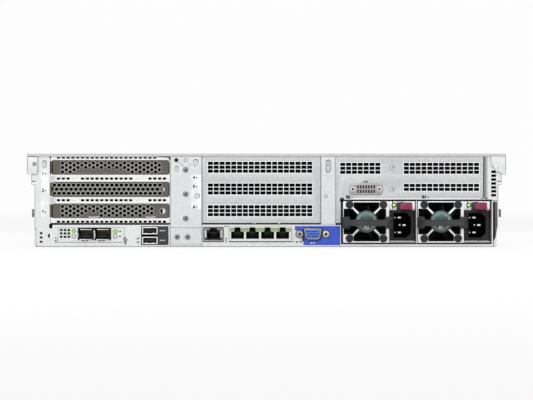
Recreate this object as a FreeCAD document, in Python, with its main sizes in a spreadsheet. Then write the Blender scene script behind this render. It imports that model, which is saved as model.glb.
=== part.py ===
"""A two-unit rack server, seen from its rear: the pan and its panels, two power supplies, risers, fans,
drives, the ears at the front and the cover that lifts off. Millimetres, +Z up. The origin is on the
underside, in the middle of the pan. The rear, with its ports, faces -Y, and the drives face +Y."""

import FreeCAD, Part
import math
import os
from types import SimpleNamespace

import Sketcher
from FreeCAD import Placement, Rotation, Vector

doc = FreeCAD.newDocument("rack_server")
sheet = doc.addObject("Spreadsheet::Sheet", "sizes")

SIZES = {
    # The pan: one folded sheet, with side walls that step outwards on their way up
    "pan_depth": 680.0,
    "pan_height": 86.0,
    "foot_width": 430.4,
    "foot_height": 16.8,
    "body_width": 434.0,
    "step_height": 61.2,
    "upper_width": 439.6,
    "sheet": 1.2,
    "standoff_radius": 3.0,
    "board_height": 3.7,
    # The cover and the fixed panel in front of it
    "unit_height": 87.3,
    "cover_sheet": 1.0,
    "cover_width": 448.0,
    "skirt_depth": 16.6,
    "front_top_length": 141.0,
    "seam": 0.3,
    "lip_drop": 1.6,
    "tab_width": 10.9,
    "tab_extra": 1.6,
    "tab_chamfer": 5.4,
    "latch_width": 96.0,
    "latch_length": 62.0,
    "latch_depth": 7.0,
    "latch_setback": 40.0,
    "lever_thickness": 3.0,
    "lever_pin_radius": 1.8,
    "latch_clearance": 0.6,
    # The rear panel and its windows
    "card_window_left": -202.0,
    "card_window_right": 203.0,
    "card_window_floor": 21.5,
    "panel_fit": 0.3,
    "floor_seam": 0.9,
    "recess_left": 211.6,
    "recess_right": 215.0,
    "recess_floor": 6.6,
    "recess_top": 42.4,
    "recess_slant": 1.8,
    "corner_notch_width": 2.2,
    "corner_notch_floor": 17.3,
    "side_vent_x": 212.3,
    "side_vent_floor": 47.2,
    "side_vent_width": 4.6,
    "side_vent_height": 2.4,
    "side_vent_pitch": 3.65,
    "side_vent_count": 7,
    "corner_vent_x": -210.7,
    "corner_vent_floor": 4.0,
    "corner_vent_width": 2.5,
    "corner_vent_height": 1.9,
    "corner_vent_pitch": 4.0,
    "corner_vent_count": 3,
    # Card slots
    "slot_pitch": 20.32,
    "slot_floor": 33.7,
    "slot_height": 13.6,
    "slot_count": 3,
    "cover_plate_height": 18.0,
    "cover_plate_sheet": 0.9,
    "cover_plate_tab": 11.0,
    "riser_right": -90.0,
    "riser_length": 188.0,
    "hole_radius": 1.05,
    "round_pitch": 14.52,
    "round_length": 9.4,
    "round_row": 2.09,
    "round_start": 11.2,
    "round_count": 6,
    "oval_pitch": 9.0,
    "oval_length": 7.1,
    "oval_row": 3.84,
    "oval_start": 3.4,
    "oval_count": 11,
    "oval_radius": 1.3,
    "fixing_hole_radius": 2.3,
    "fixing_hole_inset": 5.6,
    # Vent fields of the blank panels
    "vent_width": 4.3,
    "vent_height": 2.6,
    "vent_pitch": 5.46,
    "vent_row": 3.65,
    "blank_left": -60.0,
    "blank_right": 50.7,
    "blank_sheet": 0.8,
    "blank_flange": 9.0,
    "blank_vent_start": 5.4,
    "blank_vent_pairs": 9,
    "vent_rows": 3,
    "pillar_width": 29.4,
    "pillar_sheet": 1.2,
    "pillar_flange": 12.0,
    "pillar_foot": 2.4,
    "right_pillar_width": 13.7,
    "upper_panel_floor": 44.6,
    "upper_panel_leg": 5.0,
    "upper_vent_drop": 4.5,
    "upper_vent_left": 4.3,
    "upper_vent_left_pairs": 3,
    "upper_vent_right": 64.0,
    "upper_vent_right_pairs": 6,
    "upper_vent_low_rows": 2,
    # The serial port's blanking cover
    "serial_x": 93.1,
    "serial_width": 30.8,
    "serial_height": 10.8,
    "serial_corner": 3.2,
    "serial_screw_pitch": 24.99,
    "serial_screw_radius": 1.6,
    "serial_slot_width": 1.3,
    "serial_slot_height": 2.6,
    "serial_slot_pitch": 2.52,
    "serial_slot_count": 7,
    "serial_sheet": 0.8,
    # Power supplies and their cage
    "supply_width": 68.0,
    "supply_height": 39.4,
    "supply_length": 185.0,
    "supply_pitch": 69.8,
    "supply_left": 71.3,
    "supply_floor": 3.7,
    "supply_fit": 0.4,
    "supply_cage_setback": 6.0,
    "supply_sill": 2.8,
    "cage_sheet": 1.0,
    "supply_fan_x": 22.1,
    "supply_fan_z": 20.1,
    "supply_fan_bore": 17.4,
    "supply_fan_depth": 22.0,
    "supply_fan_screws": 31.6,
    "supply_window_left": 1.0,
    "supply_window_floor": 2.0,
    "supply_window_width": 38.9,
    "supply_window_height": 35.7,
    "supply_window_depth": 2.4,
    "supply_pad": 4.8,
    "supply_knob_radius": 3.4,
    "supply_knob_rise": 1.2,
    "supply_hub_radius": 9.3,
    "supply_guard_sheet": 1.0,
    "supply_spoke_width": 2.0,
    "inlet_left": 43.6,
    "inlet_floor": 2.2,
    "inlet_width": 23.6,
    "inlet_height": 28.4,
    "inlet_length": 24.0,
    "inlet_mouth_left": 3.8,
    "inlet_mouth_floor": 2.7,
    "inlet_mouth_width": 16.4,
    "inlet_mouth_height": 23.4,
    "inlet_mouth_depth": 16.0,
    "inlet_mouth_chamfer": 4.4,
    "inlet_pin_width": 4.0,
    "inlet_pin_thickness": 2.0,
    "inlet_pin_length": 13.5,
    "inlet_pin_pitch": 14.0,
    "inlet_pin_offset": 2.4,
    "inlet_earth_offset": 1.9,
    "handle_left": 0.8,
    "handle_span": 46.0,
    "handle_reach": 24.0,
    "handle_bar": 4.0,
    "handle_width": 5.9,
    "handle_height": 19.0,
    "handle_slope": 2.4,
    "handle_round": 5.0,
    "handle_root_height": 11.3,
    "handle_root_width": 6.0,
    "handle_root_depth": 4.0,
    "release_left": 53.5,
    "release_floor": 31.2,
    "release_width": 11.0,
    "release_height": 5.8,
    "release_reach": 12.0,
    "release_travel": 3.0,
    "release_arm": 14.0,
    "release_fit": 0.3,
    # Chassis fans
    "fan_count": 6,
    "fan_pitch": 70.0,
    "fan_width": 66.0,
    "fan_height": 66.0,
    "fan_length": 44.0,
    "fan_bore": 29.0,
    "fan_y": 100.0,
    "fan_hub_radius": 16.0,
    "fan_running_gap": 0.8,
    "fan_seat": 0.3,
    "fan_spoke": 3.0,
    "fan_stator": 6.0,
    "blade_count": 7,
    "blade_thickness": 1.6,
    "blade_share": 0.85,
    "shaft_radius": 2.5,
    "shaft_depth": 1.5,
    "blade_pitch_angle": 35.0,
    "fan_cage_wall": 2.0,
    "fan_cage_height": 40.0,
    "fan_cage_sill": 9.0,
    # The board and what stands on it
    "board_sheet": 1.6,
    "board_left": 208.0,
    "board_front": 95.0,
    "board_waist": -140.0,
    "board_rear_right": 66.0,
    "processor_x": 103.0,
    "processor_y": -20.0,
    "sink_width": 78.0,
    "sink_length": 108.0,
    "sink_base": 5.0,
    "sink_floor": 8.0,
    "sink_height": 52.0,
    "sink_fins": 14,
    "sink_fin": 1.0,
    "socket_width": 60.0,
    "memory_pitch": 8.0,
    "memory_count": 6,
    "memory_length": 133.3,
    "memory_height": 31.2,
    "memory_thickness": 1.3,
    "memory_socket_length": 142.0,
    "memory_socket_width": 6.4,
    "memory_socket_height": 7.5,
    "memory_gap": 4.0,
    "riser_board_sheet": 1.6,
    "riser_slot_length": 89.0,
    "riser_slot_width": 7.6,
    "riser_slot_depth": 11.0,
    # Ports
    "port_face": 0.6,
    "port_length": 18.0,
    "jack_x": -49.7,
    "jack_width": 19.0,
    "jack_top": 17.6,
    "jack_mouth_width": 12.1,
    "jack_mouth_floor": 7.5,
    "jack_mouth_height": 6.7,
    "jack_notch_width": 6.5,
    "jack_notch_height": 2.2,
    "jack_mouth_depth": 14.0,
    "lan_x": -27.1,
    "lan_pitch": 14.05,
    "lan_count": 4,
    "lan_margin": 1.4,
    "usb_x": -109.0,
    "usb_width": 14.4,
    "usb_floor": 2.6,
    "usb_height": 16.2,
    "usb_mouth_width": 12.5,
    "usb_mouth_height": 4.9,
    "usb_pitch": 9.1,
    "usb_tongue_width": 11.1,
    "usb_tongue_height": 1.9,
    "usb_mouth_depth": 12.0,
    "sfp_x": -160.8,
    "sfp_pitch": 15.7,
    "sfp_mouth_width": 13.9,
    "sfp_mouth_height": 8.9,
    "sfp_floor": 7.2,
    "sfp_sheet": 0.8,
    "sfp_length": 46.0,
    "nic_left": -195.0,
    "nic_right": -132.6,
    "nic_floor": 4.4,
    "nic_top": 18.2,
    "nic_sheet": 1.0,
    "nic_hole_radius": 1.0,
    "nic_hole_pitch": 3.6,
    "nic_hole_row": 3.05,
    "nic_hole_inset": 3.0,
    "nic_hole_floor": 4.2,
    "vga_x": 43.0,
    "vga_z": 12.0,
    "vga_shell_width": 17.4,
    "vga_shell_height": 10.2,
    "vga_shell_wall": 0.8,
    "vga_slant": 1.9,
    "vga_reach": 5.4,
    "vga_insert": 4.6,
    "vga_body_length": 9.0,
    "vga_screw_pitch": 24.99,
    "vga_screw_radius": 2.9,
    "vga_screw_reach": 4.4,
    "vga_flange_left": 16.4,
    "vga_flange_right": 25.7,
    "vga_flange_height": 15.2,
    # The drive cage, drives and fillers at the front
    "cage_depth": 110.0,
    "cage_width": 428.0,
    "cage_top": 84.0,
    "bay_count": 8,
    "bay_pitch": 17.2,
    "bay_width": 16.0,
    "bay_floor": 4.2,
    "bay_height": 75.0,
    "box_width": 139.0,
    "backplane_sheet": 1.6,
    "carrier_fit": 0.3,
    "carrier_face": 6.0,
    "drive_count": 2,
    "drive_thickness": 11.0,
    "drive_length": 92.0,
    "lever_width": 11.0,
    "lever_height": 50.0,
    "lever_depth": 3.0,
    "lever_floor": 5.0,
    "lever_pin": 1.2,
    "button_height": 9.0,
    "button_travel": 2.0,
    "button_depth": 3.4,
    "filler_face": 2.0,
    "filler_depth": 24.0,
    "filler_slot_width": 116.0,
    "filler_slot_height": 6.0,
    "filler_slot_floor": 11.0,
    "filler_slot_pitch": 15.6,
    "filler_slot_count": 4,
    # The front ears
    "ear_span": 482.6,
    "ear_sheet": 2.0,
    "ear_height": 84.0,
    "ear_floor": 1.5,
    "ear_side_length": 34.0,
    "ear_screw_pitch": 465.1,
    "ear_hole_radius": 3.4,
    "ear_screw_z": 37.7,
    "ear_block_depth": 16.0,
    "ear_block_wall": 2.2,
    "ear_latch_thickness": 3.6,
    "ear_latch_height": 46.0,
    "ear_latch_pin": 1.5,
    "power_button_radius": 4.4,
    "power_button_z": 74.0,
    "locator_button_radius": 2.6,
    "locator_button_z": 61.5,
    "ear_button_travel": 1.5,
    "ear_button_rise": 1.2,
    "ear_button_fit": 0.3,
    # Fasteners
    "screw_radius": 2.5,
    "screw_rise": 1.3,
    "stud_neck": 3.0,
    "stud_neck_length": 1.3,
    "stud_head": 3.8,
    "stud_head_length": 1.9,
    "stud_height": 31.6,
    "stud_pitch": 240.0,
    "stud_rear": 22.0,
}


class Size:
    """A length that carries both its number and the formula that ties it to the sheet."""

    def __init__(self, formula, number):
        self.formula = formula
        self.number = number

    def join(self, sign, other, number):
        return Size("(%s %s %s)" % (self.formula, sign, other.formula), number)

    def __add__(self, other):
        other = as_size(other)
        return self.join("+", other, self.number + other.number)

    def __sub__(self, other):
        other = as_size(other)
        return self.join("-", other, self.number - other.number)

    def __mul__(self, other):
        other = as_size(other)
        return self.join("*", other, self.number * other.number)

    def __truediv__(self, other):
        other = as_size(other)
        return self.join("/", other, self.number / other.number)

    def __radd__(self, other):
        return as_size(other) + self

    def __rsub__(self, other):
        return as_size(other) - self

    def __rmul__(self, other):
        return as_size(other) * self

    def __neg__(self):
        return Size("(0 - %s)" % self.formula, -self.number)


def as_size(value):
    return value if isinstance(value, Size) else Size(repr(float(value)), float(value))


def fill_sheet():
    """Writes each size to the sheet, and returns them by name."""
    for row, (name, number) in enumerate(SIZES.items(), start=1):
        sheet.set("A%d" % row, name)
        sheet.set("B%d" % row, str(number))
        sheet.setAlias("B%d" % row, name)
    doc.recompute()
    return SimpleNamespace(**{name: Size("sizes." + name, sheet.get(name)) for name in SIZES})


d = fill_sheet()

# Planes and levels that many pieces share
rear = -d.pan_depth / 2
front = d.pan_depth / 2
cover_underside = d.unit_height - d.cover_sheet
skirt_floor = cover_underside - d.skirt_depth + d.cover_sheet
seam_y = front - d.front_top_length
panel_inside = rear + d.sheet
board_top = d.board_height + d.board_sheet
card_floor = d.card_window_floor + d.floor_seam
card_top = cover_underside - d.lip_drop + d.panel_fit
supply_cell = d.supply_width + 2 * d.supply_fit
supply_cage_left = d.supply_left - d.supply_fit - d.cage_sheet
supply_cage_right = d.supply_left + d.supply_pitch + d.supply_width + d.supply_fit + d.cage_sheet
supply_cage_top = d.supply_floor + d.supply_height + d.supply_fit + d.cage_sheet
Y_AXIS = Rotation(Vector(1, 0, 0), -90)
X_AXIS = Rotation(Vector(0, 1, 0), 90)
nodes = []

# Sides of the prisms that stand for rounds on small pieces, and on larger ones
HEXAGON = 6
SMALL_ROUND = 8
LARGE_ROUND = 16


def bind(item, **formulas):
    """Ties properties to formulas. A double underline in a name stands for a dot."""
    for name, size in formulas.items():
        item.setExpression(name.replace("__", "."), as_size(size).formula)


def move(item, x, y, z, rotation=None):
    if rotation:
        item.Placement = Placement(Vector(), rotation)
    bind(item, Placement__Base__x=x, Placement__Base__y=y, Placement__Base__z=z)
    return item


def node(item, label):
    """Registers a finished sub-part under its label."""
    item.Label = label
    nodes.append(item)
    return item


# Part primitives


def block(name, x, y, z, dx, dy, dz):
    item = doc.addObject("Part::Box", name)
    bind(item, Length=dx, Width=dy, Height=dz)
    return move(item, x, y, z)


def rod(name, x, y, z, radius, length, rotation=Y_AXIS, sides=None):
    """A cylinder, or a prism of some sides for a small piece that repeats."""
    if sides is None:
        item = doc.addObject("Part::Cylinder", name)
        bind(item, Radius=radius, Height=length)
    else:
        item = doc.addObject("Part::Prism", name)
        item.Polygon = sides
        bind(item, Circumradius=radius, Height=length)
    return move(item, x, y, z, rotation)


def difference(name, base, *tools):
    item = doc.addObject("Part::Cut", name)
    item.Base = base
    item.Tool = tools[0] if len(tools) == 1 else bundle(name + "_tools", *tools)
    return item


def union(name, *shapes):
    item = doc.addObject("Part::MultiFuse", name)
    item.Shapes = list(shapes)
    item.Refine = True
    return item


def bundle(name, *items):
    """Separate solids kept as one group."""
    item = doc.addObject("Part::Compound", name)
    item.Links = list(items)
    return item


# PartDesign features


def new_body(name, several=False):
    body = doc.addObject("PartDesign::Body", name)
    body.AllowCompound = several
    return body


def origin(body, role):
    return next(f for f in body.Origin.OriginFeatures if f.Role == role)


def add_box(body, name, x, y, z, dx, dy, dz, kind="Additive"):
    item = body.newObject("PartDesign::%sBox" % kind, name)
    bind(item, Length=dx, Width=dy, Height=dz)
    return move(item, x, y, z)


def cut_box(body, name, x, y, z, dx, dy, dz):
    return add_box(body, name, x, y, z, dx, dy, dz, kind="Subtractive")


def add_rod(body, name, x, y, z, radius, length, rotation=Y_AXIS, sides=None, kind="Additive"):
    """A cylinder, or a prism of some sides for a piece that repeats."""
    if sides is None:
        item = body.newObject("PartDesign::%sCylinder" % kind, name)
        bind(item, Radius=radius, Height=length)
    else:
        item = body.newObject("PartDesign::%sPrism" % kind, name)
        item.Polygon = sides
        bind(item, Circumradius=radius, Height=length)
    return move(item, x, y, z, rotation)


def cut_rod(body, name, x, y, z, radius, length, rotation=Y_AXIS, sides=None):
    """A round hole. One with sides has them outside the circle, so that a round pin still clears them."""
    if sides is not None:
        radius = radius / math.cos(math.pi / sides)
    return add_rod(body, name, x, y, z, radius, length, rotation, sides, kind="Subtractive")


def repeat(body, name, features, *steps):
    """Repeats features by steps of (axis, count, spacing), each along an axis of the body."""
    grid = body.newObject("PartDesign::MultiTransform", name)
    patterns = []
    for number, (axis, count, spacing) in enumerate(steps):
        pattern = body.newObject("PartDesign::LinearPattern", "%s_%d" % (name, number))
        pattern.Direction = (origin(body, axis + "_Axis"), [""])
        pattern.Mode = "Spacing"
        bind(pattern, Occurrences=count, Offset=spacing)
        patterns.append(pattern)
    grid.Originals = features if isinstance(features, list) else [features]
    grid.Transformations = patterns
    body.Tip = grid
    return grid


def outline(body, name, role, points, lift=None):
    """A closed outline on an origin plane, each corner held at its formulas. No coordinate is negative."""
    sketch = body.newObject("Sketcher::SketchObject", name)
    sketch.AttachmentSupport = (origin(body, role), [""])
    sketch.MapMode = "FlatFace"
    if lift is not None:
        bind(sketch, AttachmentOffset__Base__z=lift)
    corners = [(as_size(x), as_size(y)) for x, y in points]
    spots = [Vector(x.number, y.number, 0) for x, y in corners]
    for index, spot in enumerate(spots):
        sketch.addGeometry(Part.LineSegment(spot, spots[(index + 1) % len(spots)]), False)
    for index, (x, y) in enumerate(corners):
        following = (index + 1) % len(corners)
        sketch.addConstraint(Sketcher.Constraint("Coincident", index, 2, following, 1))
        for kind, size, axis in (("DistanceX", x, -2), ("DistanceY", y, -1)):
            if size.number == 0:
                sketch.addConstraint(Sketcher.Constraint("PointOnObject", index, 1, axis))
            else:
                held = sketch.addConstraint(Sketcher.Constraint(kind, -1, 1, index, 1, size.number))
                sketch.setExpression("Constraints[%d]" % held, size.formula)
    return sketch


def pad(body, name, sketch, length, both_ways=False, backwards=False):
    item = body.newObject("PartDesign::Pad", name)
    item.Profile = sketch
    item.Reversed = backwards
    if both_ways:
        item.SideType = "Symmetric"
    bind(item, Length=length)
    return item


def pocket(body, name, sketch, length, backwards=False):
    item = body.newObject("PartDesign::Pocket", name)
    item.Profile = sketch
    item.Reversed = backwards
    bind(item, Length=length)
    return item


def mirror(body, name, features, role="YZ_Plane"):
    item = body.newObject("PartDesign::Mirrored", name)
    item.Originals = features
    item.MirrorPlane = (origin(body, role), [""])
    body.Tip = item
    return item


# The enclosure


def wall_section():
    """Half of the pan's section: floor, foot, body and the wider wall under the cover."""
    foot = d.foot_width / 2
    side = d.body_width / 2
    upper = d.upper_width / 2
    return [
        (0, 0),
        (foot, 0),
        (foot, d.foot_height),
        (side, d.foot_height),
        (side, d.step_height),
        (upper, d.step_height),
        (upper, d.pan_height),
        (upper - d.sheet, d.pan_height),
        (upper - d.sheet, d.step_height + d.sheet),
        (side - d.sheet, d.step_height + d.sheet),
        (side - d.sheet, d.foot_height + d.sheet),
        (foot - d.sheet, d.foot_height + d.sheet),
        (foot - d.sheet, d.sheet),
        (0, d.sheet),
    ]


def build_base_pan():
    body = new_body("base_pan")
    section = outline(body, "pan_section", "XZ_Plane", wall_section())
    half = pad(body, "pan_half", section, d.pan_depth, both_ways=True)
    mirror(body, "pan_whole", [half])
    reach = d.board_left - 4 * d.standoff_radius
    stand = add_rod(body, "standoff", -reach, rear + 30, d.sheet, d.standoff_radius,
                    d.board_height - d.sheet, Rotation(), HEXAGON)
    repeat(body, "standoffs", stand, ("X", 2, reach), ("Y", 3, 190))
    return node(body, "base_pan")


def build_rear_panel():
    foot = d.foot_width / 2 - d.sheet
    side = d.body_width / 2 - d.sheet
    upper = d.upper_width / 2 - d.sheet
    body = new_body("rear_panel")
    half = outline(body, "panel_outline", "XZ_Plane", [
        (0, d.sheet),
        (foot, d.sheet),
        (foot, d.foot_height + d.sheet),
        (side, d.foot_height + d.sheet),
        (side, d.step_height + d.sheet),
        (upper, d.step_height + d.sheet),
        (upper, d.pan_height),
        (0, d.pan_height),
    ], lift=d.pan_depth / 2 - d.sheet)
    mirror(body, "panel_whole", [pad(body, "panel_half", half, d.sheet)])
    through = d.sheet
    windows = {
        "card": (d.card_window_left, d.card_window_floor, d.card_window_right, card_top + d.panel_fit),
        "supply": (supply_cage_left, d.supply_sill, supply_cage_right, supply_cage_top),
        "network": (d.nic_left, d.nic_floor, d.nic_right, d.nic_top),
        "usb": usb_edges(),
        "jack": jack_edges(),
        "lan": lan_edges(),
        "vga": vga_edges(),
    }
    for name, (left, floor, right, top) in windows.items():
        cut_box(body, name + "_window", left, rear, floor, right - left, through, top - floor)
    cut_box(body, "corner_notch", d.card_window_left - d.panel_fit, rear, d.corner_notch_floor,
            d.corner_notch_width, through, d.card_window_floor - d.corner_notch_floor)
    right = d.recess_right
    recess = outline(body, "recess_outline", "XZ_Plane", [
        (d.recess_left, d.recess_floor),
        (right - d.recess_slant, d.recess_floor),
        (right, d.foot_height + d.sheet),
        (right, d.recess_top),
        (d.recess_left, d.recess_top),
    ], lift=-rear)
    pocket(body, "recess", recess, through)
    side_vent = cut_box(body, "side_vent", d.side_vent_x - d.side_vent_width / 2, rear, d.side_vent_floor,
                        d.side_vent_width, through, d.side_vent_height)
    repeat(body, "side_vents", side_vent, ("Z", d.side_vent_count, d.side_vent_pitch))
    corner = cut_box(body, "corner_vent", d.corner_vent_x - d.corner_vent_width / 2, rear,
                     d.corner_vent_floor, d.corner_vent_width, through, d.corner_vent_height)
    repeat(body, "corner_vents", corner, ("Z", d.corner_vent_count, d.corner_vent_pitch))
    return node(body, "rear_panel")


def build_top_cover():
    half = d.cover_width / 2
    back = rear - d.seam - d.cover_sheet
    length = seam_y - d.seam - back
    middle = seam_y - d.latch_setback - d.latch_length
    tray_wall = d.cover_sheet
    tray_floor = d.unit_height - d.latch_depth
    body = new_body("top_cover")
    add_box(body, "top", -half, back, cover_underside, d.cover_width, length, d.cover_sheet)
    for name, x in (("left", -half), ("right", half - d.cover_sheet)):
        add_box(body, name + "_skirt", x, back, skirt_floor, d.cover_sheet, length,
                d.unit_height - skirt_floor)
    add_box(body, "lip", -half, back, cover_underside - d.lip_drop, d.cover_width, d.cover_sheet,
            d.lip_drop)
    add_box(body, "left_tab", -half, back, skirt_floor, d.tab_width, d.cover_sheet,
            cover_underside - skirt_floor)
    right_tab = outline(body, "right_tab_outline", "XZ_Plane", [
        (half - d.tab_width - d.tab_extra, skirt_floor + d.tab_chamfer),
        (half - d.tab_width - d.tab_extra + d.tab_chamfer, skirt_floor),
        (half, skirt_floor),
        (half, cover_underside),
        (half - d.tab_width - d.tab_extra, cover_underside),
    ], lift=-rear + d.seam)
    pad(body, "right_tab", right_tab, d.cover_sheet)
    add_box(body, "tray", -d.latch_width / 2 - tray_wall, middle - tray_wall, tray_floor,
            d.latch_width + 2 * tray_wall, d.latch_length + 2 * tray_wall, d.latch_depth)
    cut_box(body, "tray_inside", -d.latch_width / 2, middle, tray_floor + tray_wall,
            d.latch_width, d.latch_length, d.latch_depth)
    cut_rod(body, "pin_holes", -d.latch_width / 2 - tray_wall, latch_pin_y(), latch_pin_z(),
            d.lever_pin_radius + d.seam, d.latch_width + 2 * tray_wall, X_AXIS, SMALL_ROUND)
    body.Tip = body.Group[-1]
    return node(body, "top_cover")


def latch_pin_y():
    return seam_y - d.latch_setback - d.latch_clearance - d.lever_pin_radius - d.seam


def latch_pin_z():
    return cover_underside - d.seam - d.lever_pin_radius


def build_cover_latch():
    """A paddle that lies in the tray and turns up on its two pins."""
    width = d.latch_width - 2 * d.latch_clearance
    length = d.latch_length - 2 * d.latch_clearance - d.lever_pin_radius - d.seam
    body = new_body("cover_latch")
    add_box(body, "paddle", -width / 2, latch_pin_y() - length, latch_pin_z() - d.lever_thickness / 2,
            width, length, d.lever_thickness)
    add_rod(body, "pins", -d.latch_width / 2 - d.cover_sheet, latch_pin_y(), latch_pin_z(),
            d.lever_pin_radius, d.latch_width + 2 * d.cover_sheet, X_AXIS)
    grip = d.lever_thickness / 2
    cut_box(body, "grip", -width / 4, latch_pin_y() - length, latch_pin_z(), width / 2, 5 * grip, grip)
    body.Tip = body.Group[-1]
    return node(body, "cover_latch")


def build_front_top_panel():
    half = d.cover_width / 2
    height = d.unit_height - skirt_floor
    body = new_body("front_top_panel")
    add_box(body, "top", -half, seam_y, d.pan_height, d.cover_width, d.front_top_length,
            d.unit_height - d.pan_height)
    for name, x in (("left", -half), ("right", half - d.cover_sheet)):
        add_box(body, name + "_skirt", x, seam_y, skirt_floor, d.cover_sheet, d.front_top_length, height)
    body.Tip = body.Group[-1]
    return node(body, "front_top_panel")


def build_rail_studs():
    studs = []
    for side, wall in ((-1, -d.body_width / 2), (1, d.body_width / 2)):
        turn = X_AXIS if side > 0 else X_AXIS.inverted()
        for index in range(3):
            y = rear + d.stud_rear + d.stud_pitch * index
            spot = "stud_%d_%d" % (side + 1, index)
            neck = rod(spot + "_neck", wall, y, d.stud_height, d.stud_neck, d.stud_neck_length, turn,
                       SMALL_ROUND)
            head = rod(spot + "_head", wall + side * d.stud_neck_length, y, d.stud_height,
                       d.stud_head, d.stud_head_length, turn, SMALL_ROUND)
            studs.append(union(spot, neck, head))
    return node(bundle("rail_studs", *studs), "rail_studs")


# Panels with vents


def vent_field(body, name, x, z, pairs, rows, *banks, odd=False):
    """Rows of slots, with the lowest one's left end at x and its middle at z. Neighbours are joined in pairs, and
    a single one may end each row."""
    floor = z - d.vent_height / 2
    slot = cut_box(body, name + "_pair", x, rear, floor, d.vent_pitch + d.vent_width, 4 * d.sheet, d.vent_height)
    repeat(body, name + "_pairs", slot, ("X", pairs, 2 * d.vent_pitch), ("Z", rows, d.vent_row), *banks)
    if odd:
        last = cut_box(body, name + "_end", x + 2 * pairs * d.vent_pitch, rear, floor, d.vent_width, 4 * d.sheet,
                       d.vent_height)
        repeat(body, name + "_ends", last, ("Z", rows, d.vent_row))


def build_riser_blank():
    height = card_top - card_floor
    width = d.blank_right - d.blank_left
    body = new_body("riser_blank")
    add_box(body, "plate", d.blank_left, rear, card_floor, width, d.blank_sheet, height)
    for name, z in (("sill", card_floor), ("header", card_top - d.blank_sheet)):
        add_box(body, name, d.blank_left, rear, z, width, d.blank_flange, d.blank_sheet)
    lowest = d.slot_floor - d.vent_row + 0.2
    vent_field(body, "vent", d.blank_left + d.blank_vent_start, lowest, d.blank_vent_pairs, d.vent_rows,
               ("Z", d.slot_count, d.slot_pitch))
    return node(body, "riser_blank")


def build_upper_vent_panel():
    left = d.blank_right + d.right_pillar_width
    height = card_top - d.upper_panel_floor
    width = d.card_window_right - left
    first_left = left + d.upper_vent_left
    first_right = left + d.upper_vent_right
    high = slot_row(2) - d.upper_vent_drop
    body = new_body("upper_vent_panel")
    add_box(body, "plate", left, rear, d.upper_panel_floor, width, d.blank_sheet, height)
    add_box(body, "leg", left, rear, card_floor, d.upper_panel_leg, d.blank_sheet,
            d.upper_panel_floor - card_floor)
    for name, z in (("sill", d.upper_panel_floor), ("header", card_top - d.blank_sheet)):
        add_box(body, name, left, rear, z, width, d.blank_flange, d.blank_sheet)
    fields = {
        "left": (first_left, high, d.upper_vent_left_pairs, d.vent_rows),
        "right": (first_right, high, d.upper_vent_right_pairs, d.vent_rows),
        "low": (first_right, slot_row(1), d.upper_vent_right_pairs, d.upper_vent_low_rows),
    }
    for name, (x, z, pairs, rows) in fields.items():
        vent_field(body, name, x, z, pairs, rows, odd=True)
    cut_box(body, "serial_window", d.serial_x - d.serial_width / 4, rear,
            slot_row(1) - d.serial_height / 3, d.serial_width / 2, d.blank_sheet, d.serial_height * 2 / 3)
    body.Tip = body.Group[-1]
    return node(body, "upper_vent_panel")


def slot_row(index):
    return d.slot_floor + d.slot_pitch * index


def build_serial_port_cover():
    body = new_body("serial_port_cover")
    left = d.serial_x - d.serial_width / 2
    right = d.serial_x + d.serial_width / 2
    floor = slot_row(1) - d.serial_height / 2
    top = slot_row(1) + d.serial_height / 2
    cut = d.serial_corner
    plate = outline(body, "plate_outline", "XZ_Plane", [
        (left, floor + cut),
        (left + cut, floor),
        (right - cut, floor),
        (right, floor + cut),
        (right, top - cut),
        (right - cut, top),
        (left + cut, top),
        (left, top - cut),
    ], lift=-rear)
    pad(body, "plate", plate, d.serial_sheet)
    slot = cut_box(body, "slot", d.serial_x - d.serial_slot_pitch * 3 - d.serial_slot_width / 2,
                   rear - d.serial_sheet, slot_row(1) - 3.5, d.serial_slot_width, d.serial_sheet,
                   d.serial_slot_height)
    repeat(body, "slots", slot, ("X", d.serial_slot_count, d.serial_slot_pitch), ("Z", 2, 4.2))
    return node(body, "serial_port_cover")


def build_rear_pillars():
    """Two upright strips, one each side of the blank riser bay, in front of its edges."""
    floor = d.card_window_floor
    height = card_top - d.panel_fit - d.seam - floor
    front_y = rear - d.pillar_sheet
    body = new_body("rear_pillars", several=True)
    centre = d.riser_right + d.panel_fit
    add_box(body, "centre", centre, front_y, floor, d.pillar_width, d.pillar_sheet, height)
    add_box(body, "centre_fold", centre + d.pillar_width / 2, rear, card_floor, d.sheet, d.pillar_flange,
            height - d.panel_fit)
    add_box(body, "foot", centre, front_y, d.pillar_foot, d.pillar_width, d.pillar_sheet,
            floor - d.pillar_foot)
    add_box(body, "right", d.blank_right + d.panel_fit, front_y, floor, d.right_pillar_width,
            d.pillar_sheet, height)
    add_box(body, "right_fold", d.blank_right + d.right_pillar_width / 2, rear, card_floor, d.sheet,
            d.pillar_flange, height - d.panel_fit)
    body.Tip = body.Group[-1]
    return node(body, "rear_pillars")


# The risers and card slots


def build_riser_cage():
    left = d.card_window_left + d.panel_fit
    width = d.riser_right - left
    height = card_top - card_floor
    sheet_size = d.blank_sheet
    body = new_body("riser_cage")
    add_box(body, "face", left, rear, card_floor, width, sheet_size, height)
    add_box(body, "roof", left, rear, card_top - sheet_size, width, d.riser_length, sheet_size)
    for name, x in (("left", left), ("right", d.riser_right - sheet_size)):
        add_box(body, name + "_side", x, rear, card_floor, sheet_size, d.riser_length, height)
    window = cut_box(body, "window", left + sheet_size, rear, slot_row(0) - d.slot_height / 2,
                     width - 2 * sheet_size, sheet_size, d.slot_height)
    repeat(body, "windows", window, ("Z", d.slot_count, d.slot_pitch))
    return node(body, "riser_cage")


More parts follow.
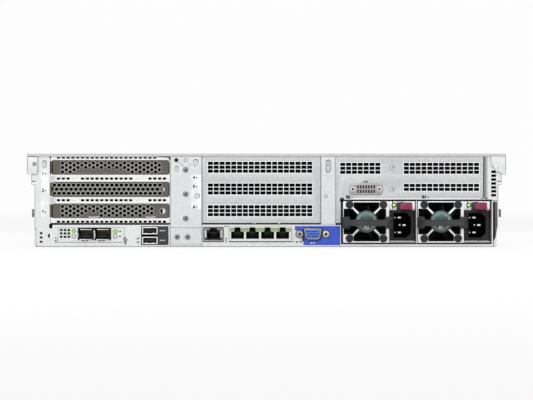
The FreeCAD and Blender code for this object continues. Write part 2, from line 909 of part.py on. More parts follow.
def slot_cover_blank(body, index):
    left = d.card_window_left + d.panel_fit + d.blank_sheet + d.panel_fit
    width = d.riser_right - d.blank_sheet - d.panel_fit - left
    plate_y = rear + d.blank_sheet
    floor = slot_row(index) - d.cover_plate_height / 2
    add_box(body, "plate", left, plate_y, floor, width, d.cover_plate_sheet, d.cover_plate_height)
    add_box(body, "ledge", left, plate_y, floor, width, d.cover_plate_tab, d.cover_plate_sheet)
    return left, plate_y, width


def fixing_hole(body, left, plate_y, width, index):
    cut_rod(body, "fixing_hole", left + width - d.fixing_hole_inset, plate_y, slot_row(index),
            d.fixing_hole_radius, d.cover_plate_sheet, sides=SMALL_ROUND)


def build_round_hole_cover(index, label):
    body = new_body(label)
    left, plate_y, width = slot_cover_blank(body, index)
    fixing_hole(body, left, plate_y, width, index)
    for name, shift, rows in (("odd", 0, 3), ("even", d.round_pitch / 2, 2)):
        low = slot_row(index) - d.round_row * (rows - 1)
        hole = cut_box(body, name + "_hole", left + d.round_start + shift - d.hole_radius, plate_y,
                       low - d.hole_radius, d.round_length, d.cover_plate_sheet, 2 * d.hole_radius)
        repeat(body, name + "_holes", hole, ("X", d.round_count, d.round_pitch),
               ("Z", rows, 2 * d.round_row))
    return node(body, label)


def build_oval_hole_cover(index, label):
    body = new_body(label)
    left, plate_y, width = slot_cover_blank(body, index)
    hole = cut_box(body, "hole", left + d.oval_start - d.oval_radius, plate_y,
                   slot_row(index) - d.oval_row - d.oval_radius, d.oval_length, d.cover_plate_sheet,
                   2 * d.oval_radius)
    repeat(body, "holes", hole, ("X", d.oval_count, d.oval_pitch), ("Z", d.slot_count, d.oval_row))
    return node(body, label)


def build_riser_board():
    """An upright board with three card sockets facing into the cage."""
    face = d.riser_right - d.blank_sheet - d.riser_board_sheet
    start = rear + d.riser_length - d.riser_slot_length - 2 * d.riser_slot_width
    length = d.riser_slot_length + d.riser_slot_width
    body = new_body("riser_board")
    add_box(body, "board", face, start, board_top, d.riser_board_sheet, length,
            slot_row(2) + d.slot_height / 2 - board_top)
    socket = add_box(body, "socket", face - d.riser_slot_depth, start + d.riser_slot_width / 2,
                     slot_row(0) - d.riser_slot_width / 2, d.riser_slot_depth, d.riser_slot_length,
                     d.riser_slot_width)
    repeat(body, "sockets", socket, ("Z", d.slot_count, d.slot_pitch))
    return node(body, "riser_board")


# Ports


def jack_edges():
    half = d.jack_width / 2
    return d.jack_x - half, board_top, d.jack_x + half, d.jack_top + d.jack_notch_height / 2


def lan_edges():
    left = d.lan_x - d.jack_mouth_width / 2 - d.lan_margin
    width = d.lan_pitch * (d.lan_count - 1) + d.jack_mouth_width + 2 * d.lan_margin
    return left, board_top, left + width, d.jack_top + d.jack_notch_height / 2


def usb_edges():
    half = d.usb_width / 2
    return d.usb_x - half, d.usb_floor, d.usb_x + half, d.usb_floor + d.usb_height


def vga_edges():
    half = d.vga_shell_width / 2 + 1
    return d.vga_x - half, board_top, d.vga_x + half, d.vga_z + d.vga_shell_height / 2 + 1


def jack_row(body, name, edges, centre, count):
    """A housing with a row of jack mouths, each with its notch for the plug's latch."""
    left, floor, right, top = edges
    add_box(body, name, left, rear - d.port_face, floor, right - left, d.port_length, top - floor)
    mouth = cut_box(body, name + "_mouth", centre - d.jack_mouth_width / 2, rear - d.port_face,
                    d.jack_mouth_floor, d.jack_mouth_width, d.jack_mouth_depth, d.jack_mouth_height)
    notch = cut_box(body, name + "_notch", centre - d.jack_notch_width / 2, rear - d.port_face,
                    d.jack_mouth_floor + d.jack_mouth_height, d.jack_notch_width, d.jack_mouth_depth,
                    d.jack_notch_height)
    if count is not None:
        repeat(body, name + "_mouths", [mouth, notch], ("X", count, d.lan_pitch))


def build_lan_jacks():
    body = new_body("lan_jacks", several=True)
    jack_row(body, "quad", lan_edges(), d.lan_x, d.lan_count)
    jack_row(body, "single", jack_edges(), d.jack_x, None)
    body.Tip = body.Group[-1]
    return node(body, "lan_jacks")


def build_usb_stack():
    left, floor, right, top = usb_edges()
    body = new_body("usb_stack")
    add_box(body, "housing", left, rear - d.port_face, floor, right - left, d.port_length, top - floor)
    lower = (d.usb_height - d.usb_pitch - d.usb_mouth_height) / 2 + floor
    mouth = cut_box(body, "mouth", d.usb_x - d.usb_mouth_width / 2, rear - d.port_face, lower,
                    d.usb_mouth_width, d.usb_mouth_depth, d.usb_mouth_height)
    repeat(body, "mouths", mouth, ("Z", 2, d.usb_pitch))
    tongue = add_box(body, "tongue", d.usb_x - d.usb_tongue_width / 2, rear + 1,
                     lower + (d.usb_mouth_height - d.usb_tongue_height) / 2, d.usb_tongue_width,
                     d.usb_mouth_depth, d.usb_tongue_height)
    repeat(body, "tongues", tongue, ("Z", 2, d.usb_pitch))
    return node(body, "usb_stack")


def build_network_card_plate():
    """The card behind the lower left of the panel: a bracket, and a board under its two sockets."""
    body = new_body("network_card_plate")
    width = d.nic_right - d.nic_left - 2 * d.panel_fit
    left = d.nic_left + d.panel_fit
    height = d.nic_top - d.nic_floor - 2 * d.panel_fit
    add_box(body, "bracket", left, rear, d.nic_floor + d.panel_fit, width, d.nic_sheet, height)
    add_box(body, "board", left, rear, board_top, width, 2 * d.sfp_length, sfp_base() - board_top)
    half = d.sfp_mouth_width / 2 + d.sfp_sheet
    cut_box(body, "socket_window", d.sfp_x - d.sfp_pitch / 2 - half, rear, sfp_base(),
            d.sfp_pitch + 2 * half, d.nic_sheet, d.nic_top - sfp_base())
    hole = cut_box(body, "hole", left + d.nic_hole_inset - d.nic_hole_radius, rear,
                   d.nic_floor + d.nic_hole_floor, 2 * d.nic_hole_radius, d.nic_sheet,
                   2 * d.nic_hole_radius)
    repeat(body, "holes", hole, ("X", 3, d.nic_hole_pitch), ("Z", 3, d.nic_hole_row))
    return node(body, "network_card_plate")


def sfp_base():
    return d.sfp_floor - d.sfp_sheet


def build_sfp_cages():
    """Two sheet-metal sockets for optical modules, side by side."""
    body = new_body("sfp_cages")
    width = d.sfp_pitch + d.sfp_mouth_width + 2 * d.sfp_sheet
    left = d.sfp_x - width / 2
    add_box(body, "shell", left, rear - d.port_face, sfp_base(), width, d.sfp_length,
            d.sfp_mouth_height + 2 * d.sfp_sheet)
    mouth = cut_box(body, "mouth", left + d.sfp_sheet, rear - d.port_face, d.sfp_floor,
                    d.sfp_mouth_width, d.sfp_length - d.sfp_sheet, d.sfp_mouth_height)
    repeat(body, "mouths", mouth, ("X", 2, d.sfp_pitch))
    return node(body, "sfp_cages")


def tapered_shell(left, floor, width, height, slant):
    """A D-shaped outline, narrower along its lower edge."""
    return [
        (left + slant, floor),
        (left + width - slant, floor),
        (left + width, floor + height),
        (left, floor + height),
    ]


def build_vga_connector():
    left = d.vga_x - d.vga_shell_width / 2
    floor = d.vga_z - d.vga_shell_height / 2
    wall = d.vga_shell_wall
    body = new_body("vga_connector")
    add_box(body, "housing", vga_edges()[0], rear, board_top, vga_edges()[2] - vga_edges()[0],
            d.vga_body_length, vga_edges()[3] - board_top)
    shell = outline(body, "shell_outline", "XZ_Plane",
                    tapered_shell(left, floor, d.vga_shell_width, d.vga_shell_height, d.vga_slant),
                    lift=-rear)
    pad(body, "shell", shell, d.vga_reach)
    inside = outline(body, "inside_outline", "XZ_Plane",
                     tapered_shell(left + wall, floor + wall, d.vga_shell_width - 2 * wall,
                                   d.vga_shell_height - 2 * wall, d.vga_slant), lift=-rear + d.vga_reach)
    pocket(body, "inside", inside, d.vga_reach)
    core = outline(body, "core_outline", "XZ_Plane",
                   tapered_shell(left + 2 * wall, floor + 2 * wall, d.vga_shell_width - 4 * wall,
                                 d.vga_shell_height - 4 * wall, d.vga_slant), lift=-rear)
    pad(body, "core", core, d.vga_insert)
    add_box(body, "flange", d.vga_x - d.vga_flange_left, rear - d.port_face, d.vga_z - d.vga_flange_height / 2,
            d.vga_flange_left + d.vga_flange_right, d.port_face, d.vga_flange_height)
    post = add_rod(body, "post", d.vga_x - d.vga_screw_pitch / 2, rear - d.vga_screw_reach, d.vga_z,
                   d.vga_screw_radius, d.vga_screw_reach, sides=HEXAGON)
    repeat(body, "posts", post, ("X", 2, d.vga_screw_pitch))
    return node(body, "vga_connector")


def build_panel_screws():
    """Round heads of the screws in the pillar, its foot, the network card and the serial port's cover."""
    pillar_face = rear - d.pillar_sheet
    pillar_x = d.riser_right + d.panel_fit + d.pillar_width / 2
    spots = [(pillar_x, pillar_face, slot_row(index) - 5, d.screw_radius) for index in range(3)]
    foot_z = d.pillar_foot + (d.card_window_floor - d.pillar_foot) / 3
    spots += [(pillar_x + shift, pillar_face, foot_z, d.screw_radius) for shift in (-8.3, 1.5)]
    spots.append((d.nic_left - 8.1, rear, foot_z + 2, d.screw_radius * 0.8))
    spots += [
        (d.serial_x + side * d.serial_screw_pitch / 2, rear - d.serial_sheet, slot_row(1),
         d.serial_screw_radius)
        for side in (-1, 1)
    ]
    screws = [
        rod("screw_%d" % index, x, y - d.screw_rise, z, radius, d.screw_rise, sides=SMALL_ROUND)
        for index, (x, y, z, radius) in enumerate(spots)
    ]
    return node(bundle("panel_screws", *screws), "panel_screws")


# Power supplies


def build_psu_cage():
    """A sheet cage for both supplies, with a wall between them."""
    start = rear + d.supply_cage_setback
    length = d.supply_length + d.sheet - d.supply_cage_setback
    floor = d.sheet
    width = supply_cage_right - supply_cage_left
    cell_floor = d.supply_floor - d.supply_fit
    body = new_body("psu_cage")
    add_box(body, "outside", supply_cage_left, start, floor, width, length, supply_cage_top - floor)
    cell = cut_box(body, "cell", d.supply_left - d.supply_fit, start, cell_floor, supply_cell, length,
                   supply_cage_top - d.cage_sheet - cell_floor)
    repeat(body, "cells", cell, ("X", 2, d.supply_pitch))
    return node(body, "psu_cage")


def supply_origin(number):
    """The lower left corner of a supply's face. The first supply is the one at the right."""
    return d.supply_left + d.supply_pitch * (2 - number), rear, d.supply_floor


def place(item, number):
    x, y, z = supply_origin(number)
    return move(item, x, y, z)


def build_psu_case(number):
    body = new_body("psu_%d_case" % number)
    add_box(body, "case", 0, 0, 0, d.supply_width, d.supply_length, d.supply_height)
    cut_rod(body, "fan_bore", d.supply_fan_x, 0, d.supply_fan_z, d.supply_fan_bore, d.supply_fan_depth,
            sides=LARGE_ROUND)
    half = d.supply_fan_screws / 2
    cut_box(body, "wide_window", d.supply_window_left, 0, d.supply_fan_z - half + d.supply_pad,
            d.supply_window_width, d.supply_window_depth, d.supply_fan_screws - 2 * d.supply_pad)
    cut_box(body, "tall_window", d.supply_fan_x - half + d.supply_pad, 0, d.supply_window_floor,
            d.supply_fan_screws - 2 * d.supply_pad, d.supply_window_depth, d.supply_window_height)
    knob = add_rod(body, "knob", d.supply_fan_x - half, -d.supply_knob_rise, d.supply_fan_z - half,
                   d.supply_knob_radius, d.supply_knob_rise, sides=SMALL_ROUND)
    repeat(body, "knobs", knob, ("X", 2, d.supply_fan_screws), ("Z", 2, d.supply_fan_screws))
    reach = d.supply_fan_bore + d.supply_knob_radius
    for name, turn in (("rising", 45), ("falling", -45)):
        spoke = add_box(body, name + "_spoke", 0, 0, 0, 2 * reach, d.supply_guard_sheet,
                        d.supply_spoke_width)
        tilt_about_centre(spoke, d.supply_fan_x, d.supply_guard_sheet / 2, d.supply_fan_z, turn,
                          reach, d.supply_guard_sheet / 2, d.supply_spoke_width / 2)
    add_rod(body, "guard_hub", d.supply_fan_x, 0, d.supply_fan_z, d.supply_hub_radius,
            d.supply_guard_sheet * 2, sides=LARGE_ROUND)
    cut_box(body, "inlet_bay", d.inlet_left, 0, d.inlet_floor, d.inlet_width, d.inlet_length,
            d.inlet_height)
    fit = d.release_fit
    cut_box(body, "release_slot", d.release_left - d.release_travel - fit, 0, d.release_floor - fit,
            d.release_width + d.release_travel + 2 * fit, d.release_arm + fit,
            d.release_height + 2 * fit)
    body.Tip = body.Group[-1]
    return node(place(body, number), "psu_%d_case" % number)


def tilt_about_centre(item, x, y, z, degrees, half_x, half_y, half_z):
    """Turns a box about the fan's axis. The box's own centre stays on that axis."""
    turn = Rotation(Vector(0, 1, 0), degrees)
    cosine = math.cos(math.radians(degrees))
    sine = math.sin(math.radians(degrees))
    item.Placement = Placement(Vector(), turn)
    bind(item,
         Placement__Base__x=x - half_x * cosine - half_z * sine,
         Placement__Base__y=y - half_y,
         Placement__Base__z=z + half_x * sine - half_z * cosine)


def build_psu_handle(number):
    """A strap that arches out over the fan. Its local origin is at the arch's left end, at its tip."""
    reach = d.handle_reach
    span = d.handle_span
    slope = d.handle_slope
    bar = d.handle_bar
    low = (d.handle_root_height - d.handle_width) / 2
    body = new_body("psu_%d_handle" % number)
    arch = outline(body, "arch_outline", "XY_Plane", [
        (0, reach),
        (slope, d.handle_round),
        (slope + d.handle_round, 0),
        (span - slope - d.handle_round, 0),
        (span - slope, d.handle_round),
        (span, reach),
        (span - bar, reach),
        (span - slope - bar, d.handle_round + bar / 2),
        (span - slope - d.handle_round - bar / 2, bar),
        (slope + d.handle_round + bar / 2, bar),
        (slope + bar, d.handle_round + bar / 2),
        (bar, reach),
    ], lift=low)
    pad(body, "arch", arch, d.handle_width)
    for name, x in (("left", 0), ("right", span - d.handle_root_width)):
        add_box(body, name + "_root", x, reach - d.handle_root_depth, 0, d.handle_root_width,
                d.handle_root_depth, d.handle_root_height)
    body.Tip = body.Group[-1]
    x, y, z = supply_origin(number)
    move(body, x + d.handle_left, y - reach, z + d.handle_height - d.handle_root_height / 2)
    return node(body, "psu_%d_handle" % number)


def build_psu_inlet(number):
    """A mains inlet with its recess, cut back at two corners, and three blades."""
    left = d.inlet_left + d.inlet_mouth_left
    floor = d.inlet_floor + d.inlet_mouth_floor
    right = left + d.inlet_mouth_width
    top = floor + d.inlet_mouth_height
    cut = d.inlet_mouth_chamfer
    body = new_body("psu_%d_inlet" % number)
    add_box(body, "block", d.inlet_left, 0, d.inlet_floor, d.inlet_width, d.inlet_length,
            d.inlet_height)
    mouth = outline(body, "mouth_outline", "XZ_Plane", [
        (left, floor),
        (right - cut, floor),
        (right, floor + cut),
        (right, top - cut),
        (right - cut, top),
        (left, top),
    ])
    pocket(body, "mouth", mouth, d.inlet_mouth_depth)
    centre_x = left + d.inlet_mouth_width / 2
    centre_z = floor + d.inlet_mouth_height / 2
    back = d.inlet_mouth_depth - d.inlet_pin_length
    blades = {
        "live": (-d.inlet_pin_offset, -d.inlet_pin_pitch / 2),
        "neutral": (-d.inlet_pin_offset, d.inlet_pin_pitch / 2),
        "earth": (d.inlet_earth_offset, 0),
    }
    for name, (shift_x, shift_z) in blades.items():
        add_box(body, name, centre_x + shift_x - d.inlet_pin_width / 2, back,
                centre_z + shift_z - d.inlet_pin_thickness / 2, d.inlet_pin_width, d.inlet_pin_length,
                d.inlet_pin_thickness)
    body.Tip = body.Group[-1]
    return node(place(body, number), "psu_%d_inlet" % number)


def build_psu_latch(number):
    body = new_body("psu_%d_latch" % number)
    add_box(body, "tab", d.release_left, -d.release_reach, d.release_floor, d.release_width,
            d.release_reach + d.release_arm - d.release_fit, d.release_height)
    rib = cut_box(body, "grip", d.release_left, -d.release_reach + 1.5,
                  d.release_floor + d.release_height - 0.8, d.release_width, 1.2, 0.8)
    repeat(body, "grips", rib, ("Y", 3, 2.8))
    return node(place(body, number), "psu_%d_latch" % number)


def bladed_rotor(name, hub_radius, tip_radius, length):
    """A hub with pitched blades around the Y axis and a half-round socket for the shaft. Its local origin is on
    the axis, at its rear."""
    hub = rod(name + "_hub", 0, 0, 0, hub_radius, length, sides=2 * int(d.blade_count.number))
    pitch = math.radians(d.blade_pitch_angle.number)
    chord = (length - d.blade_thickness * math.sin(pitch)) / math.cos(pitch) * d.blade_share
    inset = hub_radius * 0.8
    sweep = (chord * math.sin(pitch) + d.blade_thickness * math.cos(pitch)) / 2
    tip = reach_inside(tip_radius, sweep)
    blades = []
    for index in range(int(d.blade_count.number)):
        blade = block("%s_blade_%d" % (name, index), 0, 0, 0, tip - inset, chord, d.blade_thickness)
        around = Rotation(Vector(0, 1, 0), 360.0 * index / d.blade_count.number)
        turn = around.multiply(Rotation(Vector(1, 0, 0), d.blade_pitch_angle.number))
        out = around.multVec(Vector(1, 0, 0))
        along = turn.multVec(Vector(0, 1, 0))
        across = turn.multVec(Vector(0, 0, 1))
        half_chord = chord / 2
        half_sheet = d.blade_thickness / 2
        blade.Placement = Placement(Vector(), turn)
        bind(blade,
             Placement__Base__x=inset * out.x - half_chord * along.x - half_sheet * across.x,
             Placement__Base__y=length / 2 - half_chord * along.y - half_sheet * across.y,
             Placement__Base__z=inset * out.z - half_chord * along.z - half_sheet * across.z)
        blades.append(blade)
    shaft = rod(name + "_shaft", 0, length - d.shaft_depth, 0, d.shaft_radius, 2 * d.shaft_depth)
    shaft.Angle = 180
    return difference(name, union(name + "_blades", hub, *blades), shaft)


def reach_inside(radius, half_width):
    """How far out a square end may come with its corners still on a circle."""
    square = radius * radius - half_width * half_width
    return Size("sqrt(%s)" % square.formula, math.sqrt(square.number))


def build_psu_fan_rotor(number):
    label = "psu_%d_fan_rotor" % number
    start = 2 * d.supply_guard_sheet + d.fan_running_gap
    rotor = bladed_rotor(label, d.supply_hub_radius, d.supply_fan_bore - d.fan_running_gap,
                         d.supply_fan_depth - start - d.fan_running_gap)
    x, y, z = supply_origin(number)
    move(rotor, x + d.supply_fan_x, y + start, z + d.supply_fan_z)
    return node(rotor, label)


# Chassis fans


def fan_x(index):
    """The first fan is at the left, seen from the rear."""
    return d.fan_pitch * (index - 1) - d.fan_pitch * (d.fan_count - 1) / 2


def fan_z():
    return fan_floor() + d.fan_height / 2


def fan_floor():
    return d.sheet + d.fan_cage_wall


def build_fan_cage():
    width = d.fan_pitch * d.fan_count + d.fan_cage_wall
    length = d.fan_length + 2 * d.fan_cage_wall
    start = d.fan_y - d.fan_cage_wall
    body = new_body("fan_cage")
    add_box(body, "tray", -width / 2, start, d.sheet, width, length, d.fan_cage_height)
    cell_width = d.fan_pitch - d.fan_cage_wall
    cell = cut_box(body, "cell", -width / 2 + d.fan_cage_wall, d.fan_y - d.fan_seat, fan_floor(),
                   cell_width, d.fan_length + 2 * d.fan_seat, d.fan_cage_height)
    repeat(body, "cells", cell, ("X", d.fan_count, d.fan_pitch))
    way = cut_box(body, "way", -width / 2 + d.fan_cage_wall * 2, start, d.fan_cage_sill,
                  cell_width - 2 * d.fan_cage_wall, length, d.fan_cage_height)
    repeat(body, "ways", way, ("X", d.fan_count, d.fan_pitch))
    return node(body, "fan_cage")


def build_fan_housings():
    """Six square fan frames, each with a hub held on two bars behind its rotor."""
    body = new_body("fan_housings", several=True)
    x = fan_x(1)
    corner = x - d.fan_width / 2
    frame = add_box(body, "frame", corner, d.fan_y, fan_floor(), d.fan_width, d.fan_length, d.fan_height)
    repeat(body, "frames", frame, ("X", d.fan_count, d.fan_pitch))
    bore = cut_rod(body, "bore", x, d.fan_y, fan_z(), d.fan_bore, d.fan_length, sides=LARGE_ROUND)
    repeat(body, "bores", bore, ("X", d.fan_count, d.fan_pitch))
    reach = d.fan_bore + 1
    for name, wide, tall in (("level", reach, d.fan_spoke / 2), ("upright", d.fan_spoke / 2, reach)):
        bar = add_box(body, name + "_bar", x - wide, d.fan_y, fan_z() - tall, 2 * wide, d.fan_spoke,
                      2 * tall)
        repeat(body, name + "_bars", bar, ("X", d.fan_count, d.fan_pitch))
    hub = add_rod(body, "hub", x, d.fan_y, fan_z(), d.fan_hub_radius, d.fan_stator, sides=LARGE_ROUND)
    repeat(body, "hubs", hub, ("X", d.fan_count, d.fan_pitch))
    return node(body, "fan_housings")


def build_fan_rotor(index):
    label = "fan_rotor_%d" % index
    start = d.fan_stator + d.fan_running_gap
    rotor = bladed_rotor(label, d.fan_hub_radius, d.fan_bore - d.fan_running_gap,
                         d.fan_length - start - d.fan_running_gap)
    move(rotor, fan_x(index), d.fan_y + start, fan_z())
    return node(rotor, label)


# The board and what stands on it


def build_system_board():
    body = new_body("system_board")
    left = -d.board_left
    add_box(body, "main", left, d.board_waist, d.board_height, 2 * d.board_left,
            d.board_front - d.board_waist, d.board_sheet)
    add_box(body, "rear", left, panel_inside + d.panel_fit, d.board_height,
            d.board_left + d.board_rear_right, d.board_waist - panel_inside, d.board_sheet)
    usb_left, usb_floor, usb_right, usb_top = usb_edges()
    cut_box(body, "usb_notch", usb_left - d.panel_fit, rear, 0, usb_right - usb_left + 2 * d.panel_fit,
            d.port_length + d.panel_fit - d.port_face, usb_top)
    half = d.socket_width / 2
    socket = add_box(body, "socket", -d.processor_x - half, d.processor_y - half, board_top,
                     d.socket_width, d.socket_width, d.sink_floor - board_top)
    repeat(body, "sockets", socket, ("X", 2, 2 * d.processor_x))
    return node(body, "system_board")


def build_cpu_heatsinks():
    half = d.sink_width / 2
    start = d.processor_y - d.sink_length / 2
    body = new_body("cpu_heatsinks", several=True)
    base = add_box(body, "base", -d.processor_x - half, start, d.sink_floor, d.sink_width, d.sink_length,
                   d.sink_base)
    repeat(body, "bases", base, ("X", 2, 2 * d.processor_x))
    fin = add_box(body, "fin", -d.processor_x - half, start, d.sink_floor + d.sink_base, d.sink_fin,
                  d.sink_length, d.sink_height)
    repeat(body, "fins", fin, ("X", d.sink_fins, (d.sink_width - d.sink_fin) / (d.sink_fins - 1)),
           ("X", 2, 2 * d.processor_x))
    return node(body, "cpu_heatsinks")


def memory_rows(body, name, row, width):
    """Repeats one memory row six times, then on the processor's other side, then at the other one."""
    return repeat(body, name, row, ("X", d.memory_count, d.memory_pitch), ("X", 2, memory_group_pitch()),
                  ("X", 2, 2 * d.processor_x))


def memory_group_pitch():
    span = d.memory_pitch * (d.memory_count - 1) + d.memory_socket_width
    return span + d.sink_width + 2 * d.memory_gap


def first_memory_x():
    """The middle of the leftmost row."""
    outer = d.sink_width / 2 + d.memory_gap + d.memory_socket_width / 2
    return -d.processor_x - outer - d.memory_pitch * (d.memory_count - 1)


def build_memory_sockets():
    body = new_body("memory_sockets", several=True)
    row = add_box(body, "socket", first_memory_x() - d.memory_socket_width / 2,
                  d.processor_y - d.memory_socket_length / 2, board_top, d.memory_socket_width,
                  d.memory_socket_length, d.memory_socket_height)
    memory_rows(body, "sockets", row, d.memory_socket_width)
    return node(body, "memory_sockets")


def build_memory_modules():
    body = new_body("memory_modules", several=True)
    row = add_box(body, "module", first_memory_x() - d.memory_thickness / 2,
                  d.processor_y - d.memory_length / 2, board_top + d.memory_socket_height,
                  d.memory_thickness, d.memory_length, d.memory_height)
    memory_rows(body, "modules", row, d.memory_thickness)
    return node(body, "memory_modules")


# The front: drive cage, drives and fillers


cage_rear = front - d.cage_depth
bay_base = d.bay_floor
box_wall = (d.cage_width - 3 * d.box_width) / 4


def box_left(index):
    """The left edge of a drive box, counted from the left as seen from the rear."""
    return -d.cage_width / 2 + box_wall + (d.box_width + box_wall) * index


def bay_left(index):
    spare = d.box_width - d.bay_pitch * (d.bay_count - 1) - d.bay_width
    return box_left(0) + spare / 2 + d.bay_pitch * index


def build_drive_cage():
    body = new_body("drive_cage")
    add_box(body, "outside", -d.cage_width / 2, cage_rear, d.sheet, d.cage_width, d.cage_depth,
            d.cage_top - d.sheet)
    bay = cut_box(body, "bay", box_left(0), cage_rear, bay_base, d.box_width, d.cage_depth, d.bay_height)
    repeat(body, "bays", bay, ("X", 3, d.box_width + box_wall))
    return node(body, "drive_cage")


def build_drive_backplane():
    body = new_body("drive_backplane")
    add_box(body, "board", box_left(0), cage_rear - d.backplane_sheet, bay_base, d.box_width,
            d.backplane_sheet, d.bay_height)
    plug = add_box(body, "plug", bay_left(0) + d.bay_width / 4, cage_rear, bay_base + 3, d.bay_width / 3,
                   4, d.bay_height / 2)
    repeat(body, "plugs", plug, ("X", d.bay_count, d.bay_pitch))
    return node(body, "drive_backplane")


def build_drive_blanks():
    """Fillers for the small bays that have no drive."""
    fit = d.carrier_fit
    body = new_body("drive_blanks", several=True)
    filler = add_box(body, "filler", bay_left(d.drive_count) + fit, front - d.filler_depth, bay_base,
                     d.bay_width - 2 * fit, d.filler_depth, d.bay_height - fit)
    repeat(body, "fillers", filler, ("X", d.bay_count - d.drive_count, d.bay_pitch))
    recess = cut_box(body, "recess", bay_left(d.drive_count) + d.bay_width / 4, front - d.filler_depth / 3,
                     bay_base + d.bay_height / 6, d.bay_width / 2, d.filler_depth / 3, d.bay_height * 2 / 3)
    repeat(body, "recesses", recess, ("X", d.bay_count - d.drive_count, d.bay_pitch))
    return node(body, "drive_blanks")


def build_bay_blanks():
    """Two wide fillers, open behind, each with slots in its face."""
    fit = d.carrier_fit
    body = new_body("bay_blanks", several=True)
    width = d.box_width - 2 * fit
    face = add_box(body, "filler", box_left(1) + fit, front - d.filler_depth, bay_base, width,
                   d.filler_depth, d.bay_height - fit)
    repeat(body, "fillers", face, ("X", 2, d.box_width + box_wall))
    hollow = cut_box(body, "hollow", box_left(1) + fit + d.filler_face, front - d.filler_depth,
                     bay_base + d.filler_face, width - 2 * d.filler_face, d.filler_depth - d.filler_face,
                     d.bay_height - fit - 2 * d.filler_face)
    repeat(body, "hollows", hollow, ("X", 2, d.box_width + box_wall))
    margin = (width - d.filler_slot_width) / 2
    slot = cut_box(body, "slot", box_left(1) + fit + margin, front - d.filler_face,
                   bay_base + d.filler_slot_floor, d.filler_slot_width, d.filler_face,
                   d.filler_slot_height)
    repeat(body, "slots", slot, ("X", 2, d.box_width + box_wall),
           ("Z", d.filler_slot_count, d.filler_slot_pitch))
    return node(body, "bay_blanks")


def drive_lever_x(number):
    return bay_left(number - 1) + (d.bay_width - d.lever_width) / 2


def lever_pin_y():
    return front + d.lever_pin + d.carrier_fit


def lever_pin_z():
    return bay_base + d.lever_floor + d.lever_pin


def build_drive_carrier(number):
    """A drive on its carrier, with lugs for the lever and a hole for the button."""
    fit = d.carrier_fit
    left = bay_left(number - 1)
    face_start = front - d.carrier_face
    label = "drive_%d_carrier" % number
    body = new_body(label)
    add_box(body, "face", left + fit, face_start, bay_base + fit, d.bay_width - 2 * fit, d.carrier_face,
            d.bay_height - 2 * fit)
    add_box(body, "drive", left + (d.bay_width - d.drive_thickness) / 2, face_start - d.drive_length,
            bay_base + fit, d.drive_thickness, d.drive_length, d.bay_height - 2 * fit)
    lug_width = (d.bay_width - 2 * fit - d.lever_width) / 2 - fit
    lug = add_box(body, "lug", left + fit, front, lever_pin_z() - 2 * d.lever_pin, lug_width,
                  lever_pin_y() - front + d.lever_pin, 4 * d.lever_pin)
    repeat(body, "lugs", lug, ("X", 2, d.lever_width + lug_width + 2 * fit))
    cut_rod(body, "pin_hole", left, lever_pin_y(), lever_pin_z(), d.lever_pin / 2 + fit,
            d.bay_width, X_AXIS, SMALL_ROUND)
    cut_box(body, "button_hole", button_left(number) - fit, front - d.button_depth - d.button_travel - fit,
            button_floor() - fit, button_width() + 2 * fit, d.button_depth + d.button_travel + fit,
            d.button_height + 2 * fit)
    body.Tip = body.Group[-1]
    return node(body, label)


def button_width():
    return d.lever_width - 2


def button_left(number):
    return bay_left(number - 1) + (d.bay_width - button_width()) / 2


def button_floor():
    return bay_base + d.bay_height - d.button_height - 4


def build_drive_lever(number):
    """A lever whose foot turns on a pin between the carrier's lugs."""
    label = "drive_%d_lever" % number
    left = drive_lever_x(number)
    body = new_body(label)
    add_box(body, "plate", left, front + d.carrier_fit, lever_pin_z(), d.lever_width, d.lever_depth,
            d.lever_height)
    add_rod(body, "foot", left, lever_pin_y(), lever_pin_z(), d.lever_pin, d.lever_width, X_AXIS,
            SMALL_ROUND)
    add_rod(body, "pin", bay_left(number - 1) + d.carrier_fit, lever_pin_y(), lever_pin_z(), d.lever_pin / 2,
            d.bay_width - 2 * d.carrier_fit, X_AXIS)
    body.Tip = body.Group[-1]
    return node(body, label)


def build_drive_button(number):
    label = "drive_%d_button" % number
    body = new_body(label)
    add_box(body, "button", button_left(number), front - d.button_depth, button_floor(), button_width(),
            d.button_depth + d.ear_button_rise, d.button_height)
    body.Tip = body.Group[-1]
    return node(body, label)


# The front ears


def ear_middle(side):
    """The middle of an ear's flange, outside the pan's wall."""
    return side * (d.body_width / 2 + d.ear_span / 2) / 2


def ear_width():
    return (d.ear_span - d.body_width) / 2


def ear_block_front():
    return front + d.ear_sheet + d.ear_block_depth


def ear_pin_y():
    return ear_block_front() - d.ear_latch_thickness / 2


def ear_pin_z():
    return d.ear_floor + d.ear_block_wall + d.ear_latch_thickness / 2 + d.panel_fit


